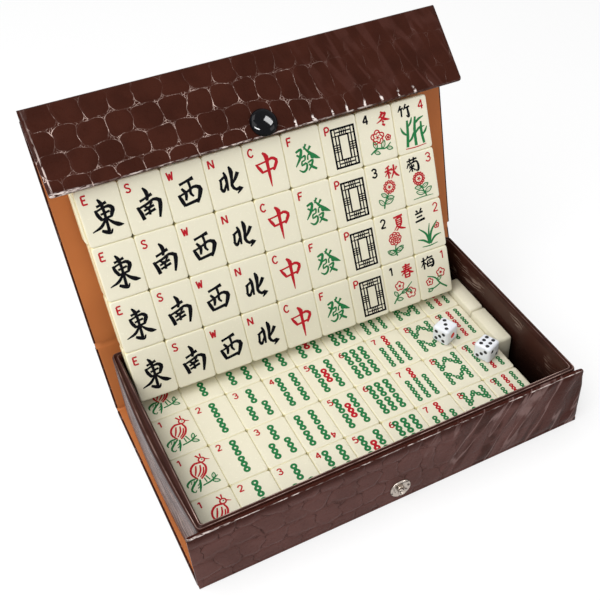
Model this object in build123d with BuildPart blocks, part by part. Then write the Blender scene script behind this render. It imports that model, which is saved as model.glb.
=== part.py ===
"""Book-style mahjong case, open, with its tiles laid out for display.

Millimetres, +Z up, +Y to the back, the underside of the case on Z = 0.
One folding cover runs on as front board, bottom, spine, lid and snap flap.
A tray of wrapped card stands on the bottom board and holds the tiles.
Half of the tiles lean against the lid as a wall, the rest lie in the tray.
"""
import os
from math import cos, radians, sin, tan

from build123d import *

os.makedirs("parts", exist_ok=True)

# ---------------------------------------------------------------- tiles
tile_w = 22.0          # across a tile's face
tile_l = 30.0          # down a tile's face
tile_t = 9.0           # through a tile
tile_edge = 0.8        # chamfer that stands for the tumbled edges
tile_gap = 0.1         # between neighbours in a row
cols = 9
rows = 4
layers_below = 2       # layers lying in the tray: a hidden one, then the one on view
layers_wall = 2        # layers in the leaning wall

# ---------------------------------------------------------------- cover
board_t = 2.2          # greyboard wrapped in leatherette
lining_t = 0.4         # smooth lining pasted on the inside
board_round = 1.2      # corners of a board
board_edge = 0.6       # wrap turning over a board's outer edge
lining_inset = 1.0     # lining stops short of the board's edge
fold_clear = 0.3       # between a fold's bead and the board beside it
run_clear = 0.1        # between a fold's bead and the web that swings round it
web_t = 0.8            # leatherette and lining alone, in the flap's wide fold
seat_clear = 0.3       # lid and flap off what they close over
flap_reach = 43.6      # flap from its fold to its free edge
overhang = 7.5         # lid and flap beyond the tray at its right
overhang_left = 4.75   # every board beyond the tray at its left
base_trim = 2.6        # front and bottom boards end short of the lid's right end
spine_trim = 1.3       # the spine's right end, halfway between the two

# ---------------------------------------------------------------- tray
wall_t = 3.0           # wrapped card wall
left_wall_t = 4.9      # left wall, where the wrap stands off its card
wall_round = 1.8       # outer upright corners at the rear
rim_round = 0.9        # wrap turning over the rim
floor_t = 0.8          # card floor
head_room = 3.6        # over the last layer when everything is packed
side_gap = 1.8         # left of the first column
front_gap = 0.4        # before the first row
rear_gap = 1.6         # behind the last row
blank_clear = 2.65     # beside a spare tile standing in the side channel

# ---------------------------------------------------------------- how it stands open
spine_lean = 70.9      # spine above the table, leaning back
lid_lean = 77.33       # lid above the table
flap_turn = 144.6      # flap folded in from the lid's own line
wall_lean = 69.44      # tile wall above the table
wall_yaw = -0.9        # tile wall turned a little to the front at its right end
wall_shift = -0.15     # wall's left end from the first column's
loose_shift = 0.9      # top row of the wall's rear layer, pushed to the left
blank_start = 47.8     # first spare tile behind the front of the tile block
blank_gap = 1.0        # between the spare tiles
blank_off = 0.4        # spare tiles from the last column

# ---------------------------------------------------------------- dice
die_size = 11.0
die_round = 1.7
pip_r = 1.05
pip_depth = 0.35
pip_step = 2.55        # from the middle of a face to its outer pips
die_1_x, die_1_y, die_1_turn = 175.45, 69.36, 23.0     # from the tile block's front left corner
die_2_x, die_2_y, die_2_turn = 188.91, 45.68, 23.8

# ---------------------------------------------------------------- snap fastener
snap_reach = 34.2      # stud down the front, from the closed flap's fold
snap_ease = 2.5        # cap further along the flap, taken up round its wide fold
snap_off = -2.3        # snap from the middle of the case
cap_r = 7.4
cap_h = 3.6
cap_roll = 1.0         # upright rolled edge of the cap
stud_plate_r = 6.1
stud_plate_t = 0.9
stud_neck_r = 2.1
stud_head_r = 2.6
stud_h = 3.2           # head above the front board
stud_bore_r = 1.2      # rivet's hollow end
stud_bore_d = 1.6
socket_r = 6.0
socket_h = 2.4
socket_bore_r = 2.8
socket_lip = 0.5       # rolled lip round the bore

# ---------------------------------------------------------------- derived sizes
pitch_x = tile_w + tile_gap
pitch_y = tile_l + tile_gap
block_w = cols * pitch_x - tile_gap
block_d = rows * pitch_y - tile_gap
panel_t = board_t + lining_t
half_t = panel_t / 2
fold_gap = half_t + fold_clear
tray_in_w = side_gap + block_w + tile_t + blank_clear
tray_in_d = front_gap + block_d + rear_gap
tray_w = left_wall_t + tray_in_w + wall_t
tray_d = tray_in_d + 2 * wall_t
tray_h = floor_t + (layers_below + layers_wall) * tile_t + head_room
cover_w = overhang_left + tray_w + overhang
rim_z = panel_t + tray_h
depth = panel_t + tray_d + seat_clear + half_t      # front face to the rear fold line
front_y = -depth / 2
tray_y0 = front_y + panel_t                         # tray's outer front face
tray_y1 = tray_y0 + tray_d                          # tray's outer rear face at the bottom
floor_z = panel_t + floor_t
top_z = floor_z + layers_below * tile_t             # faces of the tiles on view
tray_x0 = -cover_w / 2 + overhang_left               # tray's outer left face
tray_in_x0 = tray_x0 + left_wall_t
block_x0 = tray_in_x0 + side_gap
block_x1 = block_x0 + block_w
block_y0 = tray_y0 + wall_t + front_gap

# fold lines, each down the middle of the boards' thickness, as (Y, Z)
fold_a = (depth / 2, half_t)                        # bottom to spine
spine_len = rim_z
fold_b = (fold_a[0] + spine_len * cos(radians(spine_lean)),
          fold_a[1] + spine_len * sin(radians(spine_lean)))
lid_len = depth + seat_clear + half_t               # reaches just past the front board
fold_c = (fold_b[0] + lid_len * cos(radians(lid_lean)),
          fold_b[1] + lid_len * sin(radians(lid_lean)))
half_open = radians(180 - flap_turn) / 2
flap_slack = half_t / tan(half_open) + 2 * run_clear        # boards end here, clear of each other
web_start = max(half_t, web_t / 2 / tan(half_open)) + run_clear

# the wall stands on its rear lower edge and leans its rear upper edge on the lid
lean = radians(wall_lean)
lid_a = radians(lid_lean)
wall_y = (fold_b[0] - block_d * cos(lean)
          + ((block_d * sin(lean) + top_z - fold_b[1]) * cos(lid_a) - half_t - seat_clear) / sin(lid_a))

# its weight pushes the rear wall of the tray back at the rim
rear_y = tray_y1 - wall_t
rear_push = max(0, wall_y + (rim_z - top_z) / tan(lean) + run_clear - rear_y)


def board_plane(at, angle):
    """Middle of a board: Y runs from its fold along the board, Z looks to its lined side."""
    a = radians(angle)
    return Plane(origin=(0, at[0], at[1]), x_dir=(1, 0, 0), z_dir=(0, -sin(a), cos(a)))


front_plane = board_plane((front_y + half_t, rim_z), -90)
bottom_plane = board_plane((front_y + half_t, half_t), 0)
spine_plane = board_plane(fold_a, spine_lean)
lid_plane = board_plane(fold_b, lid_lean)
flap_plane = board_plane(fold_c, lid_lean + flap_turn)
wall_plane = Plane(origin=(block_x0 + wall_shift, wall_y, top_z),
                   x_dir=(cos(radians(wall_yaw)), sin(radians(wall_yaw)), 0),
                   z_dir=(sin(radians(wall_yaw)) * sin(lean), -cos(radians(wall_yaw)) * sin(lean), cos(lean)))


def board(plane, start, end, trim=0):
    """Wrapped board between two distances along the plane, its outer edges turned over round.

    trim is how far its right end falls short of the widest boards'."""
    with BuildPart() as made:
        with BuildSketch(plane.offset(-half_t)):
            with Locations((-trim / 2, (start + end) / 2)):
                RectangleRounded(cover_w - trim, end - start, board_round)
        extrude(amount=board_t)
        chamfer(made.faces().sort_by(Axis(plane.origin, plane.z_dir))[0].edges(), board_edge)
    return made


def lining(plane, start, end, trim=0):
    """Lining pasted on the inside of a board."""
    with BuildPart() as made:
        with BuildSketch(plane.offset(half_t - lining_t)):
            with Locations((-trim / 2, (start + end) / 2)):
                RectangleRounded(cover_w - 2 * lining_inset - trim, end - start, board_round / 2)
        extrude(amount=lining_t)
    return made


def bend(plane, at, trim=0):
    """Bead of leatherette that a fold makes, right across the case."""
    with BuildPart() as made:
        with BuildSketch(Plane(origin=plane.from_local_coords(Vector(-cover_w / 2 + board_edge, at, 0)),
                               x_dir=plane.y_dir, z_dir=(1, 0, 0))):
            Circle(half_t)
        extrude(amount=cover_w - 2 * board_edge - trim)
    return made


def web(plane, start, end):
    """Limp strip between a fold and the end of its board."""
    with BuildPart() as made:
        with BuildSketch(plane.offset(-web_t / 2)):
            with Locations((0, (start + end) / 2)):
                Rectangle(cover_w - 2 * board_edge, end - start)
        extrude(amount=web_t)
    return made


# ---------------------------------------------------------------- cover: front board and bottom
front_cover = board(front_plane, 0, rim_z - panel_t, base_trim)
front_lining = lining(front_plane, lining_inset, rim_z - panel_t, base_trim)
front_bend = bend(bottom_plane, 0, base_trim)
bottom_cover = board(bottom_plane, half_t, depth - half_t - fold_gap, base_trim)
bottom_lining = lining(bottom_plane, half_t, depth - half_t - fold_gap, base_trim)

# ---------------------------------------------------------------- cover: spine
lower_bend = bend(spine_plane, 0, base_trim)
spine_cover = board(spine_plane, fold_gap, spine_len - fold_gap, spine_trim)
spine_lining = lining(spine_plane, fold_gap, spine_len - fold_gap, spine_trim)

# ---------------------------------------------------------------- cover: lid
upper_bend = bend(lid_plane, 0)
lid_cover = board(lid_plane, fold_gap, lid_len - flap_slack)
lid_lining = lining(lid_plane, fold_gap, lid_len - flap_slack)
flap_bend = bend(lid_plane, lid_len)
lid_web = web(lid_plane, lid_len - flap_slack, lid_len - half_t)

# ---------------------------------------------------------------- cover: flap
flap_web = web(flap_plane, web_start, flap_slack)
flap_cover = board(flap_plane, flap_slack, flap_reach)
flap_lining = lining(flap_plane, flap_slack, flap_reach - lining_inset)

# ---------------------------------------------------------------- tray
with BuildPart() as tray_floor:
    with BuildSketch(Plane.XY.offset(panel_t)):
        with Locations((tray_in_x0 + tray_in_w / 2, (tray_y0 + wall_t + rear_y) / 2)):
            Rectangle(tray_in_w, rear_y - tray_y0 - wall_t)
    extrude(amount=floor_t)

with BuildPart() as tray_wall_front:
    with BuildSketch(Plane.YZ.offset(tray_x0)):
        with Locations((tray_y0 + wall_t / 2, panel_t + tray_h / 2)):
            Rectangle(wall_t, tray_h)
    extrude(amount=tray_w)
    fillet(tray_wall_front.edges().filter_by(Axis.X).group_by(Axis.Z)[-1], rim_round)

# the rear wall leans back from the floor to the rim
with BuildPart() as tray_wall_back:
    with BuildSketch(Plane.YZ.offset(tray_x0)):
        with BuildLine():
            Polyline((rear_y, panel_t), (rear_y + wall_t, panel_t),
                     (rear_y + rear_push + wall_t, rim_z), (rear_y + rear_push, rim_z), close=True)
        make_face()
    extrude(amount=tray_w)
    uprights = tray_wall_back.edges().filter_by(lambda e: abs(e.tangent_at(0.5).Z) > 0.5)
    fillet(uprights.sort_by(Axis.Y)[-2:], wall_round)
    fillet(tray_wall_back.faces().sort_by(Axis.Z)[-1].edges(), rim_round)


def side_wall(x, thick):
    """Side wall between the front and rear walls, its rear end cut to the rear wall's slope."""
    with BuildPart() as made:
        with BuildSketch(Plane.YZ.offset(x)):
            with BuildLine():
                Polyline((tray_y0 + wall_t, panel_t), (rear_y, panel_t),
                         (rear_y + rear_push, rim_z), (tray_y0 + wall_t, rim_z), close=True)
            make_face()
        extrude(amount=thick)
        fillet(made.faces().sort_by(Axis.Z)[-1].edges().filter_by(Axis.Y), rim_round)
    return made


tray_wall_left = side_wall(tray_x0, left_wall_t)
tray_wall_right = side_wall(tray_x0 + tray_w - wall_t, wall_t)

# ---------------------------------------------------------------- tiles
with BuildPart(mode=Mode.PRIVATE) as tile:
    Box(tile_w, tile_l, tile_t)
    chamfer(tile.edges(), tile_edge)


def tiles(plane, cells, layer, shift=0.0):
    """Tiles of one layer at their columns and rows, counted from the plane's origin."""
    with BuildPart(plane.offset((layer + 0.5) * tile_t)) as made:
        with Locations(*[((c + 0.5) * pitch_x - tile_gap / 2 - shift, (r + 0.5) * pitch_y - tile_gap / 2)
                         for c, r in cells]):
            add(tile.part)
    return made


tray_plane = Plane(origin=(block_x0, block_y0, floor_z))
wall_names = ["winds_east", "winds_south", "winds_west", "winds_north", "dragons_red",
              "dragons_green", "dragons_white", "seasons", "plants"]
tile_groups = {}
for r in range(rows):
    tile_groups[f"lower_row_{r + 1}"] = tiles(tray_plane, [(c, r) for c in range(cols)], 0)
    tile_groups[f"back_row_{r + 1}"] = tiles(wall_plane, [(c, r) for c in range(cols)], 0,
                                             loose_shift if r == rows - 1 else 0)
for c in range(cols):
    tile_groups[f"bamboo_{c + 1}"] = tiles(tray_plane, [(c, r) for r in range(rows)], layers_below - 1)
for c, name in enumerate(wall_names[:cols]):
    tile_groups[name] = tiles(wall_plane, [(c, r) for r in range(rows)], layers_wall - 1)


def blank(start):
    """Spare tile on its long edge in the side channel."""
    with BuildPart(Plane(origin=(block_x1 + blank_off + tile_t / 2, block_y0 + start + tile_l / 2,
                                 floor_z + tile_w / 2),
                         x_dir=(0, 0, 1), z_dir=(1, 0, 0))) as made:
        with Locations((0, 0)):
            add(tile.part)
    return made


blank_front = blank(blank_start)
blank_rear = blank(blank_start + tile_l + blank_gap)

# ---------------------------------------------------------------- dice
spots = {1: [(0, 0)], 2: [(-1, 1), (1, -1)], 3: [(-1, -1), (0, 0), (1, 1)],
         4: [(-1, -1), (-1, 1), (1, -1), (1, 1)], 5: [(-1, -1), (-1, 1), (0, 0), (1, -1), (1, 1)],
         6: [(-1, -1), (0, -1), (1, -1), (-1, 1), (0, 1), (1, 1)]}


def die(x, y, turn, top, left, front):
    """Cube with rounded edges and cupped pips, opposite faces adding up to seven."""
    here = Plane(origin=(block_x0 + x, block_y0 + y, top_z + die_size / 2),
                 x_dir=(cos(radians(turn)), sin(radians(turn)), 0), z_dir=(0, 0, 1))
    faces = [(here.z_dir, here.x_dir, top), (-here.x_dir, -here.y_dir, left), (-here.y_dir, here.x_dir, front)]
    faces += [(-n, u, 7 - value) for n, u, value in faces]
    with BuildPart(here) as made:
        Box(die_size, die_size, die_size)
        fillet(made.edges(), die_round)
        for n, u, value in faces:
            side = Plane(origin=here.origin + n * (die_size / 2 - pip_depth), x_dir=u, z_dir=n)
            with BuildSketch(side):
                with Locations(*[(a * pip_step, b * pip_step) for a, b in spots[value]]):
                    RegularPolygon(pip_r, 10)
            extrude(amount=pip_depth, mode=Mode.SUBTRACT)
    return made


die_1 = die(die_1_x, die_1_y, die_1_turn, 3, 5, 1)
die_2 = die(die_2_x, die_2_y, die_2_turn, 6, 3, 2)


# ---------------------------------------------------------------- snap fastener
def turned(plane, profile):
    """Piece spun round the plane's Y axis from a profile of (radius, height)."""
    with BuildPart() as made:
        with BuildSketch(plane):
            with BuildLine():
                Polyline(*profile, close=True)
            make_face()
        revolve(axis=Axis(plane.origin, plane.y_dir))
    return made


def spin_plane(plane, at, out):
    """Plane through a snap's axis: X is its radius, Y looks out from the board."""
    return Plane(origin=plane.from_local_coords(Vector(snap_off, at, out * half_t)),
                 x_dir=(1, 0, 0), z_dir=-plane.y_dir * out)


stud_at = spin_plane(front_plane, snap_reach - half_t, -1)
snap_stud = turned(stud_at, [(0, 0), (stud_plate_r, 0), (stud_plate_r, stud_plate_t * 0.4),
                             (stud_plate_r - 0.6, stud_plate_t), (stud_neck_r + 1.2, stud_plate_t * 0.7),
                             (0, stud_plate_t * 0.7)])
stud_post = turned(stud_at, [(0, stud_plate_t * 0.7), (stud_neck_r + 0.4, stud_plate_t * 0.7),
                             (stud_neck_r, stud_plate_t + 0.4), (stud_neck_r, stud_h - 1.3),
                             (stud_head_r, stud_h - 0.9), (stud_head_r, stud_h - 0.5),
                             (stud_head_r - 0.5, stud_h), (stud_bore_r, stud_h),
                             (stud_bore_r, stud_h - stud_bore_d), (0, stud_h - stud_bore_d)])
snap_socket = turned(spin_plane(flap_plane, snap_reach + snap_ease, 1),
                     [(socket_bore_r, 0), (socket_r, 0), (socket_r, socket_h * 0.4),
                      (socket_r - 0.7, socket_h * 0.6), (socket_bore_r + 1.4, socket_h * 0.6),
                      (socket_bore_r + 1.1, socket_h - socket_lip * 0.4), (socket_bore_r + 0.5, socket_h),
                      (socket_bore_r, socket_h - socket_lip)])
snap_cap = turned(spin_plane(flap_plane, snap_reach + snap_ease, -1),
                  [(0, 0), (cap_r - 0.5, 0), (cap_r, 0.4), (cap_r, cap_roll),
                   *[((cap_r - 0.2) * cos(radians(a)), cap_roll + (cap_h - cap_roll) * sin(radians(a)))
                     for a in (12, 26, 40, 54, 68, 80)], (0, cap_h)])

# ---------------------------------------------------------------- files
pieces = dict(front_cover=front_cover, front_lining=front_lining, front_bend=front_bend,
              bottom_cover=bottom_cover, bottom_lining=bottom_lining,
              lower_bend=lower_bend, spine_cover=spine_cover, spine_lining=spine_lining,
              upper_bend=upper_bend, lid_cover=lid_cover, lid_lining=lid_lining,
              flap_bend=flap_bend, lid_web=lid_web,
              flap_web=flap_web, flap_cover=flap_cover, flap_lining=flap_lining,
              tray_floor=tray_floor, tray_wall_front=tray_wall_front, tray_wall_back=tray_wall_back,
              tray_wall_left=tray_wall_left, tray_wall_right=tray_wall_right,
              blank_front=blank_front, blank_rear=blank_rear, die_1=die_1, die_2=die_2,
              snap_stud=snap_stud, stud_post=stud_post, snap_socket=snap_socket, snap_cap=snap_cap,
              **tile_groups)
for name, made in pieces.items():
    made.part.label = name
    export_step(made.part, f"parts/{name}.step")
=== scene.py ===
import bpy
import bmesh
import numpy as np
from mathutils import Matrix


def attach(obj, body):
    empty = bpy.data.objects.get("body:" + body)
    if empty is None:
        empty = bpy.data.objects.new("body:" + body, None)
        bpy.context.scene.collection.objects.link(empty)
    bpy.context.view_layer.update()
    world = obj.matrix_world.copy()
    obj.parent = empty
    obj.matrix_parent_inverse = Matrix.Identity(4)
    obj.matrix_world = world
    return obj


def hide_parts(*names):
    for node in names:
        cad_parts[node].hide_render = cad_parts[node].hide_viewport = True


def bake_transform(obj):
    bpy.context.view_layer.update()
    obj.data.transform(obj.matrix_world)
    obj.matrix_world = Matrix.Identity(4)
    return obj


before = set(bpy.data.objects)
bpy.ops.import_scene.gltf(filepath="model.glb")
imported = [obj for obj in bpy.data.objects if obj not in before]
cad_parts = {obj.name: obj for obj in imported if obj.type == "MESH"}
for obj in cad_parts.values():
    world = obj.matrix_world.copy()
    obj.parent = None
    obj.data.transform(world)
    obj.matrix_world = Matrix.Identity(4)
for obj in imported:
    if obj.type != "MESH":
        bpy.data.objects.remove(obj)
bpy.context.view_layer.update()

# ---- bottom board ---------------------------------------------------------------------
# Greyboard wrapped in glossy crocodile-grain leatherette, the wrap turned over all four
# edges. The whole case stands on it, and the tray is glued to its lined side.
MM = 0.001
LEFT, RIGHT = -116.2, 116.2
BASE_RIGHT = RIGHT - 2.6  # the bottom and the front board stop short of the lid
BOARD, LINING = 2.2, 0.4
HALF = (BOARD + LINING) / 2
FRONT_Y = -66.25          # front face of the front board
BOTTOM_L = 132.5          # from the front fold to the spine's fold
FOLD_GAP = 1.6            # boards end this far from an ordinary fold
AT_BOTTOM = ((FRONT_Y + HALF, HALF), 0)   # the (Y, Z) a board's own Y starts from, and its slope in degrees
HIDE_BOTTOM = -313.34     # the hide's V there: millimetres along the cover, nought at the flap's fold


def new_piece(name, verts, faces, materials, body=None, nodes=(), hide=None, slots=None, smooth=True, turn=False):
    """Mesh object at the origin from vertices in millimetres, riding on a body in place of CAD nodes.

    hide is its UV, one pair per vertex; turn points every face of a closed mesh outwards."""
    mesh = bpy.data.meshes.new(name)
    mesh.from_pydata((np.reshape(verts, (-1, 3)) * MM).tolist(), [], faces)
    for material in materials:
        mesh.materials.append(material)
    mesh.polygons.foreach_set("use_smooth", np.full(len(mesh.polygons), smooth))
    if slots is not None:
        mesh.polygons.foreach_set("material_index", np.asarray(slots, np.int32))
    if hide is not None:
        corner = np.empty(len(mesh.loops), np.int32)
        mesh.loops.foreach_get("vertex_index", corner)
        mesh.uv_layers.new(name="hide").data.foreach_set("uv", np.reshape(hide, (-1, 2))[corner].ravel())
    if turn:
        bm = bmesh.new()
        bm.from_mesh(mesh)
        bmesh.ops.recalc_face_normals(bm, faces=bm.faces)
        bm.to_mesh(mesh)
        bm.free()
    mesh.update()
    obj = bpy.data.objects.new(name, mesh)
    bpy.context.scene.collection.objects.link(obj)
    if body:
        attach(obj, body)
    if nodes:
        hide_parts(*nodes)
    return obj


def tube_faces(rings, around, close_ends=True):
    """Quads between rings of a closed section, with one flat face on each end."""
    i, j = np.meshgrid(np.arange(rings - 1), np.arange(around), indexing="ij")
    k = (j + 1) % around
    quads = np.stack([i * around + j, i * around + k, (i + 1) * around + k, (i + 1) * around + j], -1)
    ends = [list(range(around))[::-1], list(range((rings - 1) * around, rings * around))]
    return quads.reshape(-1, 4).tolist() + (ends if close_ends else [])


def slab(x0, x1, y0, y1, z0, z1, rolls, corners, across, along, swell=None, v_at=0.0):
    """Wrapped slab: a section with rolled edges carried along X, pinched round at both ends.

    rolls are the radii of the edges at y0 and y1, corners those of the slab's plan. Near an end
    an edge comes in by c - sqrt(c^2 - d^2), d being how far it is into the corner radius c.
    Returns points and hide, whose V is v_at plus Y on the outer face and runs on round the edges.
    swell(x, y) is how far the wrap stands off the outer face."""
    q = np.radians(np.linspace(0, 90, 5))
    edge = np.linspace(0, 1, along + 1)[1:-1]
    far = max(corners)
    tip = far * (1 - np.sin(np.radians(np.linspace(0, 80, 5))))
    x = np.concatenate([x0 + tip[::-1], np.linspace(x0 + far, x1 - far, across + 1)[1:-1], x1 - tip])[:, None]
    d = np.maximum(np.maximum(x0 + far - x, x - x1 + far), 0) / far
    e0, e1 = (c * (1 - np.sqrt(np.maximum(1 - d * d, 0))) for c in corners)
    thin = np.minimum(np.maximum(e0, e1), 0.5) * 0.35 * (z1 - z0)
    a, b, low, top = y0 + e0, y1 - e1, z0 + thin, z1 - thin
    r0, r1 = (np.minimum(r, (top - low) / 2 * 0.98) for r in rolls)
    rise, flat = top - low, (b - a - r0 - r1) * edge
    runs = []                 # Y, Z and V of each run round the section
    for y_c, z_c, r, start, v in ((b - r1, low + r1, r1, -1, b - r1), (b - r1, top - r1, r1, 0, b + rise - r1 * 1.4),
                                  (a + r0, top - r0, r0, 1, a - rise + r0 * (1.4 - np.pi / 2)),
                                  (a + r0, low + r0, r0, 2, a + r0 * (1 - np.pi / 2))):
        t = q + start * np.pi / 2
        runs.append((y_c + r * np.cos(t), z_c + r * np.sin(t), v + r * q))
    runs.insert(2, (b - r1 - flat, top, b - r1 - flat))
    runs.append((a + r0 + flat, low, a + r0 + flat))
    y, z, v = (np.concatenate([np.broadcast_to(run[k], run[0].shape) for run in runs], 1) for k in range(3))
    x = np.broadcast_to(x, y.shape)
    if swell is not None:
        clip = lambda w: np.clip(w, 0, 1)
        fade = clip((x1 - x) / 4) * clip((x - x0) / 4) * clip((y - y0) / 3) * clip((y1 - y) / 3)
        z = z - clip((z0 + max(rolls) - z) / max(rolls)) * fade * swell(x, y)
    return np.stack([x, y, z], -1), np.stack([x, v + v_at], -1)


def hide_ripple(size, seed):
    """Slow unevenness of the wrap over its board: crossing sine waves, size millimetres high."""
    p = np.random.default_rng(seed).uniform(0, 6.28, 6)
    return lambda x, y: size * (0.5 + (np.sin(x / 9.0 + 0.6 * np.sin(y / 7.0 + p[0]) + p[1])
                                       + 0.7 * np.sin(x / 4.3 - y / 11.0 + p[2])
                                       + 0.5 * np.sin(y / 6.0 + x / 31.0 + p[3])) / 4.4)


class Field:
    """A value that varies over a surface: the output of a node. Arithmetic on it adds maths nodes."""

    def __init__(self, add, socket):
        self.add, self.socket = add, socket

    def calc(self, what, *others):
        return self.add("ShaderNodeMath", dict(enumerate((self, *others))), operation=what)

    __add__ = __radd__ = lambda self, other: self.calc("ADD", other)
    __mul__ = __rmul__ = lambda self, other: self.calc("MULTIPLY", other)
    __sub__ = lambda self, other: self.calc("SUBTRACT", other)
    __truediv__ = lambda self, other: self.calc("DIVIDE", other)
    __pow__ = lambda self, other: self.calc("POWER", other)
    __abs__ = lambda self: self.calc("ABSOLUTE")
    peak = lambda self, other: self.calc("MAXIMUM", other)
    floor = lambda self: self.calc("FLOOR")
    fract = lambda self: self.calc("FRACT")

    def ramp(self, a, b, c=0.0, d=1.0, kind="SMOOTHSTEP"):
        """Maps a..b to c..d and holds it there beyond."""
        ends = {"Value": self, "From Min": a, "From Max": b, "To Min": c, "To Max": d}
        return self.add("ShaderNodeMapRange", ends, interpolation_type=kind)

    def span(self, a, b):
        return self.ramp(0.0, 1.0, a, b, "LINEAR")

    def near(self, at, a, b, c=1.0, d=0.0):
        """c within a of the value at, and d from b away."""
        return abs(self - at).ramp(a, b, c, d)

    def mix(self, a, b):
        """Colour a where the field is nought, b where it is one."""
        return self.add("ShaderNodeMix", {0: self, 6: a, 7: b}, 2, data_type="RGBA")

    def noise(self, scale, detail=2.0, out="Fac"):
        return self.add("ShaderNodeTexNoise", {"Vector": self, "Scale": scale, "Detail": detail}, out)

    def stretch(self, *by):
        return self.add("ShaderNodeVectorMath", {0: self, 1: by}, operation="MULTIPLY")

    def split(self):
        return [Field(self.add, part) for part in self.add("ShaderNodeSeparateXYZ", {0: self}).socket.node.outputs]


def node_maker(tree):
    """Returns add, which adds a node of a kind with its inputs and settings and gives one output as a Field."""
    def add(kind, inputs=None, out=0, **settings):
        node = tree.nodes.new(kind)
        for key, value in settings.items():
            setattr(node, key, value)
        for key, value in (inputs or {}).items():
            if isinstance(value, Field):
                tree.links.new(value.socket, node.inputs[key])
            else:
                node.inputs[key].default_value = value
        return Field(add, node.outputs[out]) if node.outputs else None
    return add


def new_material(name):
    """Returns add, as above, and coat, which ends the material with its surface: relief is the
    height, strength and depth in metres of what is pressed into it, and over wraps the shader."""
    mat = bpy.data.materials.new(name)
    mat.use_nodes = True
    mat.node_tree.nodes.clear()
    add = node_maker(mat.node_tree)

    def coat(colour, rough, specular=0.5, relief=None, metal=0.0, over=lambda skin: skin):
        inputs = {"Base Color": colour, "Roughness": rough, "Specular IOR Level": specular, "Metallic": metal}
        if relief:
            inputs["Normal"] = add("ShaderNodeBump", dict(zip(("Height", "Strength", "Distance"), relief)))
        add("ShaderNodeOutputMaterial", {0: over(add("ShaderNodeBsdfPrincipled", inputs))})
        return mat
    return add, coat


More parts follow.
